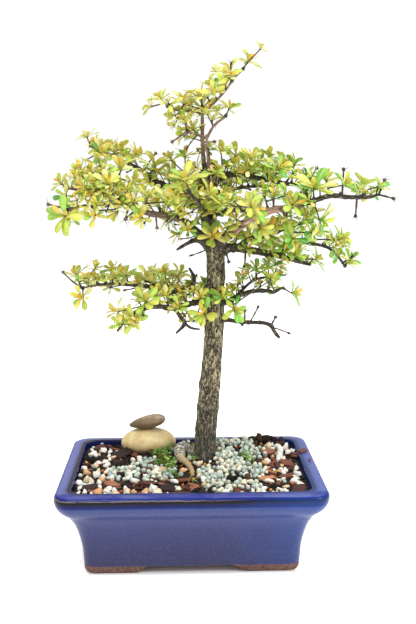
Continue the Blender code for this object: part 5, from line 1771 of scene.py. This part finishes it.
# %% [markdown]
# Finishes of the grains. Perlite is nearly white and full of pores, some of it cream or rusty. Prills are
# smooth coated balls from grey-green to white. Bark chips are red-brown, fresh wood is orange, and crumbs are
# nearly black. In each, the tint that a grain was stamped with picks its colour along a ramp, and makes it
# darker or lighter than the next.


# %% Finishes of the grains
def grain_finish(name, roughness, stops, size_mm, depth_mm, share, pores=None):
    """Colours picked along a ramp by each grain's tint, with a cloud over each grain and small dark pores."""
    made = Finish(name, roughness)
    own, light, _ = split(made.carried("tint"))
    height = cloud(made.place, size_mm, 4, 0.6)
    hue = shade(shade(ramp(own, stops), light, share), height, share)
    if pores:
        deep = band(cloud(made.place, 0.6, 2, 0.5), 0.6, 0.72)
        hue = blend(deep * 0.6, hue, pores)
    made.feed("Base Color", hue)
    made.bump(height, depth_mm)
    return made


GRAIN_FINISHES = (  # name, roughness, colours, size of the clouds, depth, share of shade, colour of the pores
    ("perlite", 0.9, ((0, (255, 254, 248)), (0.66, (252, 248, 234)), (0.86, (240, 218, 180)),
                      (1, (224, 168, 116))), 0.9, 0.4, 0.06, (120, 108, 90)),
    ("prill_coat", 0.5, ((0, (158, 176, 168)), (0.35, (188, 202, 192)), (0.7, (214, 218, 198)),
                         (1, (240, 232, 204))), 1.2, 0.08, 0.12),
    ("chip_bark", 0.85, ((0, (38, 22, 18)), (0.4, (88, 46, 34)), (0.75, (134, 74, 54)), (1, (184, 122, 88))),
     0.8, 0.4, 0.25, (36, 20, 16)),
    ("fresh_wood", 0.8, ((0, (196, 92, 40)), (0.5, (226, 124, 56)), (0.8, (236, 176, 70)),
                         (1, (150, 160, 60))), 0.8, 0.2, 0.2),
    ("crumb", 0.95, ((0, (16, 11, 10)), (0.6, (34, 24, 19)), (0.88, (62, 42, 30)), (1, (120, 84, 56))),
     0.7, 0.3, 0.2),
)
finishes = {row[0]: grain_finish(*row) for row in GRAIN_FINISHES}
for name, heap, finish in (("perlite_lumps", perlite, "perlite"), ("bark_chips", chips, "chip_bark"),
                           ("fertiliser_prills", prills, "prill_coat"), ("fresh_chips", fresh, "fresh_wood"),
                           ("soil_crumbs", crumbs, "crumb"), ("compost_lumps", lumps, "crumb")):
    show(name, heap, [finishes[finish]])

# %% [markdown]
# The stones. Two river pebbles, worn smooth, one resting on the other. Each is a fine ball drawn out to the
# solid's size and unevenness, with the faint veins and pits of its own kind of stone.


# %% Two pebbles
def pebble(size, bumps, tilt, taper, place):
    """A ball drawn out to a size, thicker towards +X by a taper, tilted, with its middle at a place."""
    shape = new_shape()
    bmesh.ops.create_uvsphere(shape, u_segments=64, v_segments=40, radius=0.5)
    for point in shape.verts:
        x, y, z = point.co
        uneven = bumps * (math.sin(5 * x + 2 * z) + math.cos(6 * y - 3 * x))
        uneven += 0.006 * noise.noise(point.co * 7)
        thick = 1 + 2 * taper * x
        point.co = Vector((x * size[0], y * size[1] * thick, z * size[2] * thick)) * (1 + uneven)
    bmesh.ops.rotate(shape, cent=(0, 0, 0), matrix=Matrix.Rotation(tilt, 3, "Y"), verts=shape.verts)
    low = Vector([min(point.co[axis] for point in shape.verts) for axis in range(3)])
    high = Vector([max(point.co[axis] for point in shape.verts) for axis in range(3)])
    middle = (low + high) / 2
    middle.y = 0
    bmesh.ops.translate(shape, vec=place - middle, verts=shape.verts)
    return shape


def middle_of(name):
    low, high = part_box(name)
    return ((low + high) / 2 - POT_MIDDLE) / MM


def stone_finish(name, roughness, stops, under_stain_and_shade, low_mm, high_mm, vein):
    """Cloudy stone with thin veins and small pits. Its lower side is darker and warmer: painted shade, with
    the stone's own stain where it has one.
    """
    made = Finish(name, roughness)
    where = made.place
    hue = ramp(cloud(where, 9, 5, 0.55), stops)
    _, _, up = split(where)
    below = 1 - band(up + cloud(where, 12, 3) * (4 * MM), low_mm * MM, high_mm * MM)
    hue = blend(below * 0.8, hue, under_stain_and_shade)
    thin = 1 - band(abs(cloud(where, 14, 4, 0.6) - 0.47), 0.0, 0.012)
    hue = blend(thin * 0.3, hue, vein)
    dots = band(cloud(where, 0.9, 2, 0.6), 0.66, 0.74)
    made.feed("Base Color", blend(dots * 0.5, hue, vein))
    made.bump(cloud(where, 1.4, 4), 0.06)
    return made


# The pale stone's warmer lower side is an ochre stain and painted shade; the brown stone's darker underside
# is painted shade.
pale_stone = stone_finish(
    "pale_stone", 0.42, ((0.3, (224, 192, 130)), (0.5, (240, 214, 156)), (0.7, (250, 236, 190))),
    under_stain_and_shade=(150, 104, 44), low_mm=65, high_mm=80, vein=(160, 126, 74))
brown_stone = stone_finish(
    "brown_stone", 0.36, ((0.3, (138, 116, 82)), (0.5, (170, 146, 110)), (0.7, (206, 186, 154))),
    under_stain_and_shade=(72, 52, 28), low_mm=90.5, high_mm=101, vein=(96, 78, 60))
show("pebble_below", pebble((47.6, 30, 25.6), 0.008, 0, 0, middle_of("lower_stone")), [pale_stone],
     ["lower_stone"])
show("pebble_above", pebble((32.4, 21, 10), 0.01, math.radians(-10.5), 0.24, middle_of("upper_stone")),
     [brown_stone], ["upper_stone"])

# %% [markdown]
# Moss. The cushion follows the solid's wavy outline in many more rings, and hundreds of tiny three-bladed
# tufts stand on it and a little past its edge.

# %% Moss cushion with tufts
MOSS_PLACE = (-23, 17)
MOSS_SIZE = (6.8, 13.4, 5.4)
MOSS_FLOOR = 66.0
MOSS_SIDES = 56
MOSS_LEVELS = (  # spread, rise and shift of the waves
    (1, 0, 1), (1, 0.3, 1), (0.82, 0.68, 2), (0.5, 0.92, 3), (0.2, 1, 4))
TUFTS = 620
ABOVE_ALL = 100  # a height from which to look down on the moss


def moss_ring(spread, rise, level):
    ring = []
    for side in range(MOSS_SIDES):
        angle = math.tau * side / MOSS_SIDES
        hump = 1 + 0.14 * math.sin(5 * angle) + 0.08 * math.sin(3 * angle + level)
        x = MOSS_PLACE[0] + MOSS_SIZE[0] * spread * hump * math.cos(angle)
        y = MOSS_PLACE[1] + MOSS_SIZE[1] * spread * hump * math.sin(angle)
        height = MOSS_FLOOR + MOSS_SIZE[2] * rise * (0.86 + 0.3 * math.sin(7 * angle + 2.3 * level) ** 2)
        height += 0.5 * noise.noise(Vector((x / 1.6, y / 1.6, 1))) * min(rise * 3, 1)
        ring.append(Vector((x, y, height)))
    return ring


def top_of_moss(x, y):
    """The point of the cushion under a place, or nothing beside it."""
    return moss_surface.ray_cast(Vector((x, y, ABOVE_ALL)), Vector((0, 0, -1)))[0]


cushion = sweep([moss_ring(min(level.x, 1), level.y, level.z) for level in smooth_line(MOSS_LEVELS, 0.12)])
moss_surface = BVHTree.FromBMesh(cushion)
blade = new_shape()
bmesh.ops.create_cone(blade, segments=3, cap_ends=True, radius1=0.28, radius2=0.04, depth=1.7,
                      matrix=Matrix.Translation((0, 0, 0.8)))
blade_cast = cast_of(blade)
tuft = new_shape()
for index in range(3):
    lean = Matrix.Rotation(math.tau * index / 3, 4, "Z") @ Matrix.Rotation(0.5, 4, "Y")
    stamp(tuft, blade_cast, lean, (0.5, 0.5, 0.5))
tuft_cast = cast_of(tuft)
moss_rng = random.Random("moss")
for _ in range(TUFTS):
    angle = moss_rng.uniform(0, math.tau)
    far = math.sqrt(moss_rng.random()) * 1.06
    x = MOSS_PLACE[0] + MOSS_SIZE[0] * far * math.cos(angle)
    y = MOSS_PLACE[1] + MOSS_SIZE[1] * far * math.sin(angle)
    top = top_of_moss(x, y)
    z = top.z if top else soil_height(x, y)
    turn = Matrix.Rotation(moss_rng.uniform(0, math.tau), 4, "Z")
    lean = Matrix.Rotation(moss_rng.uniform(-0.5, 0.5), 4, "X")
    place = Matrix.Translation((x, y, z - 0.2)) @ turn @ lean @ Matrix.Scale(moss_rng.uniform(0.6, 1.15), 4)
    stamp(cushion, tuft_cast, place, (moss_rng.random(), moss_rng.random(), 0))
moss_green = grain_finish("moss", 0.95, ((0.0, (70, 78, 30)), (0.5, (116, 112, 46)), (1.0, (164, 152, 74))),
                          0.9, 0.3, 0.2)
show("moss_mound", cushion, [moss_green], ["moss_cushion"])

# %% [markdown]
# A small herb. Its round leaves stand on thin stalks among the moss and here and there on the soil, as weeds
# do in any pot. They are the tree's own leaf, drawn short and broad.

# %% Herb
HERB_PLACES = (  # x, y and how many leaves
    (-27, 31, 16), (-30, 22, 12), (-22, 18, 16), (-17, 6, 14), (-17, -7, 14), (-19, 32, 10), (2, 8, 10),
    (0, 31, 8), (-13, -21, 8), (-3, 3, 6), (49, 10, 12), (46, 15, 8), (-2, -35, 3), (-25, 4, 10))
HERB_BREADTH = 1.7
STALK_RADII = ((0, 0.24), (0.5, 0.2), (1, 0.18))

herb = new_shape()
herb_leaf = LEAVES[1][0]
for x, y, count in HERB_PLACES:
    for index in range(count):
        angle = moss_rng.uniform(0, math.tau)
        spot = Vector((x + moss_rng.uniform(-4, 4), y + moss_rng.uniform(-4, 4), 0))
        spot.z = soil_height(spot.x, spot.y) + moss_rng.uniform(1.5, 5.5)
        top = top_of_moss(spot.x, spot.y)
        if top:
            spot.z = max(spot.z, top.z + moss_rng.uniform(0.5, 2))
        out = Vector((math.cos(angle), math.sin(angle), 0))
        seat = leaf_frame(spot, Vector((0, 0, 1)), out, moss_rng.uniform(0.1, 0.9))
        size = moss_rng.uniform(0.17, 0.3)
        tint = (moss_rng.random(), moss_rng.random(), 0)
        stamp(herb, herb_leaf, leaf_matrix(seat, size, HERB_BREADTH), tint)
        foot = Vector((spot.x * 0.6 + x * 0.4, spot.y * 0.6 + y * 0.4, soil_height(x, y) - 0.5))
        add_shape(herb, limb_shape(bent_line(foot, spot, STALK_RADII), 5, steady(0.9), 1.0))
herb_green = grain_finish("herb", 0.6, ((0.0, (70, 130, 50)), (0.6, (112, 170, 70)), (1.0, (176, 206, 90))),
                          1.5, 0.1, 0.12)
show("herb_leaves", herb, [herb_green])

# %% [markdown]
# The drain screens are carried over from the solids as they are: cut squares of plastic mesh. They get a
# moulded black plastic with a fine grain.

# %% Drain screens
screen_plastic = Finish("screen_plastic", 0.5)
colour, height = mottle(screen_plastic.place, 0.8, (22, 22, 22), (40, 40, 38))
screen_plastic.feed("Base Color", colour)
screen_plastic.bump(height, 0.05)
for name in ("drain_screen_left", "drain_screen_right"):
    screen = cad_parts[name]
    screen.data.materials.clear()
    screen.data.materials.append(screen_plastic.material)
print("both screens are dressed")
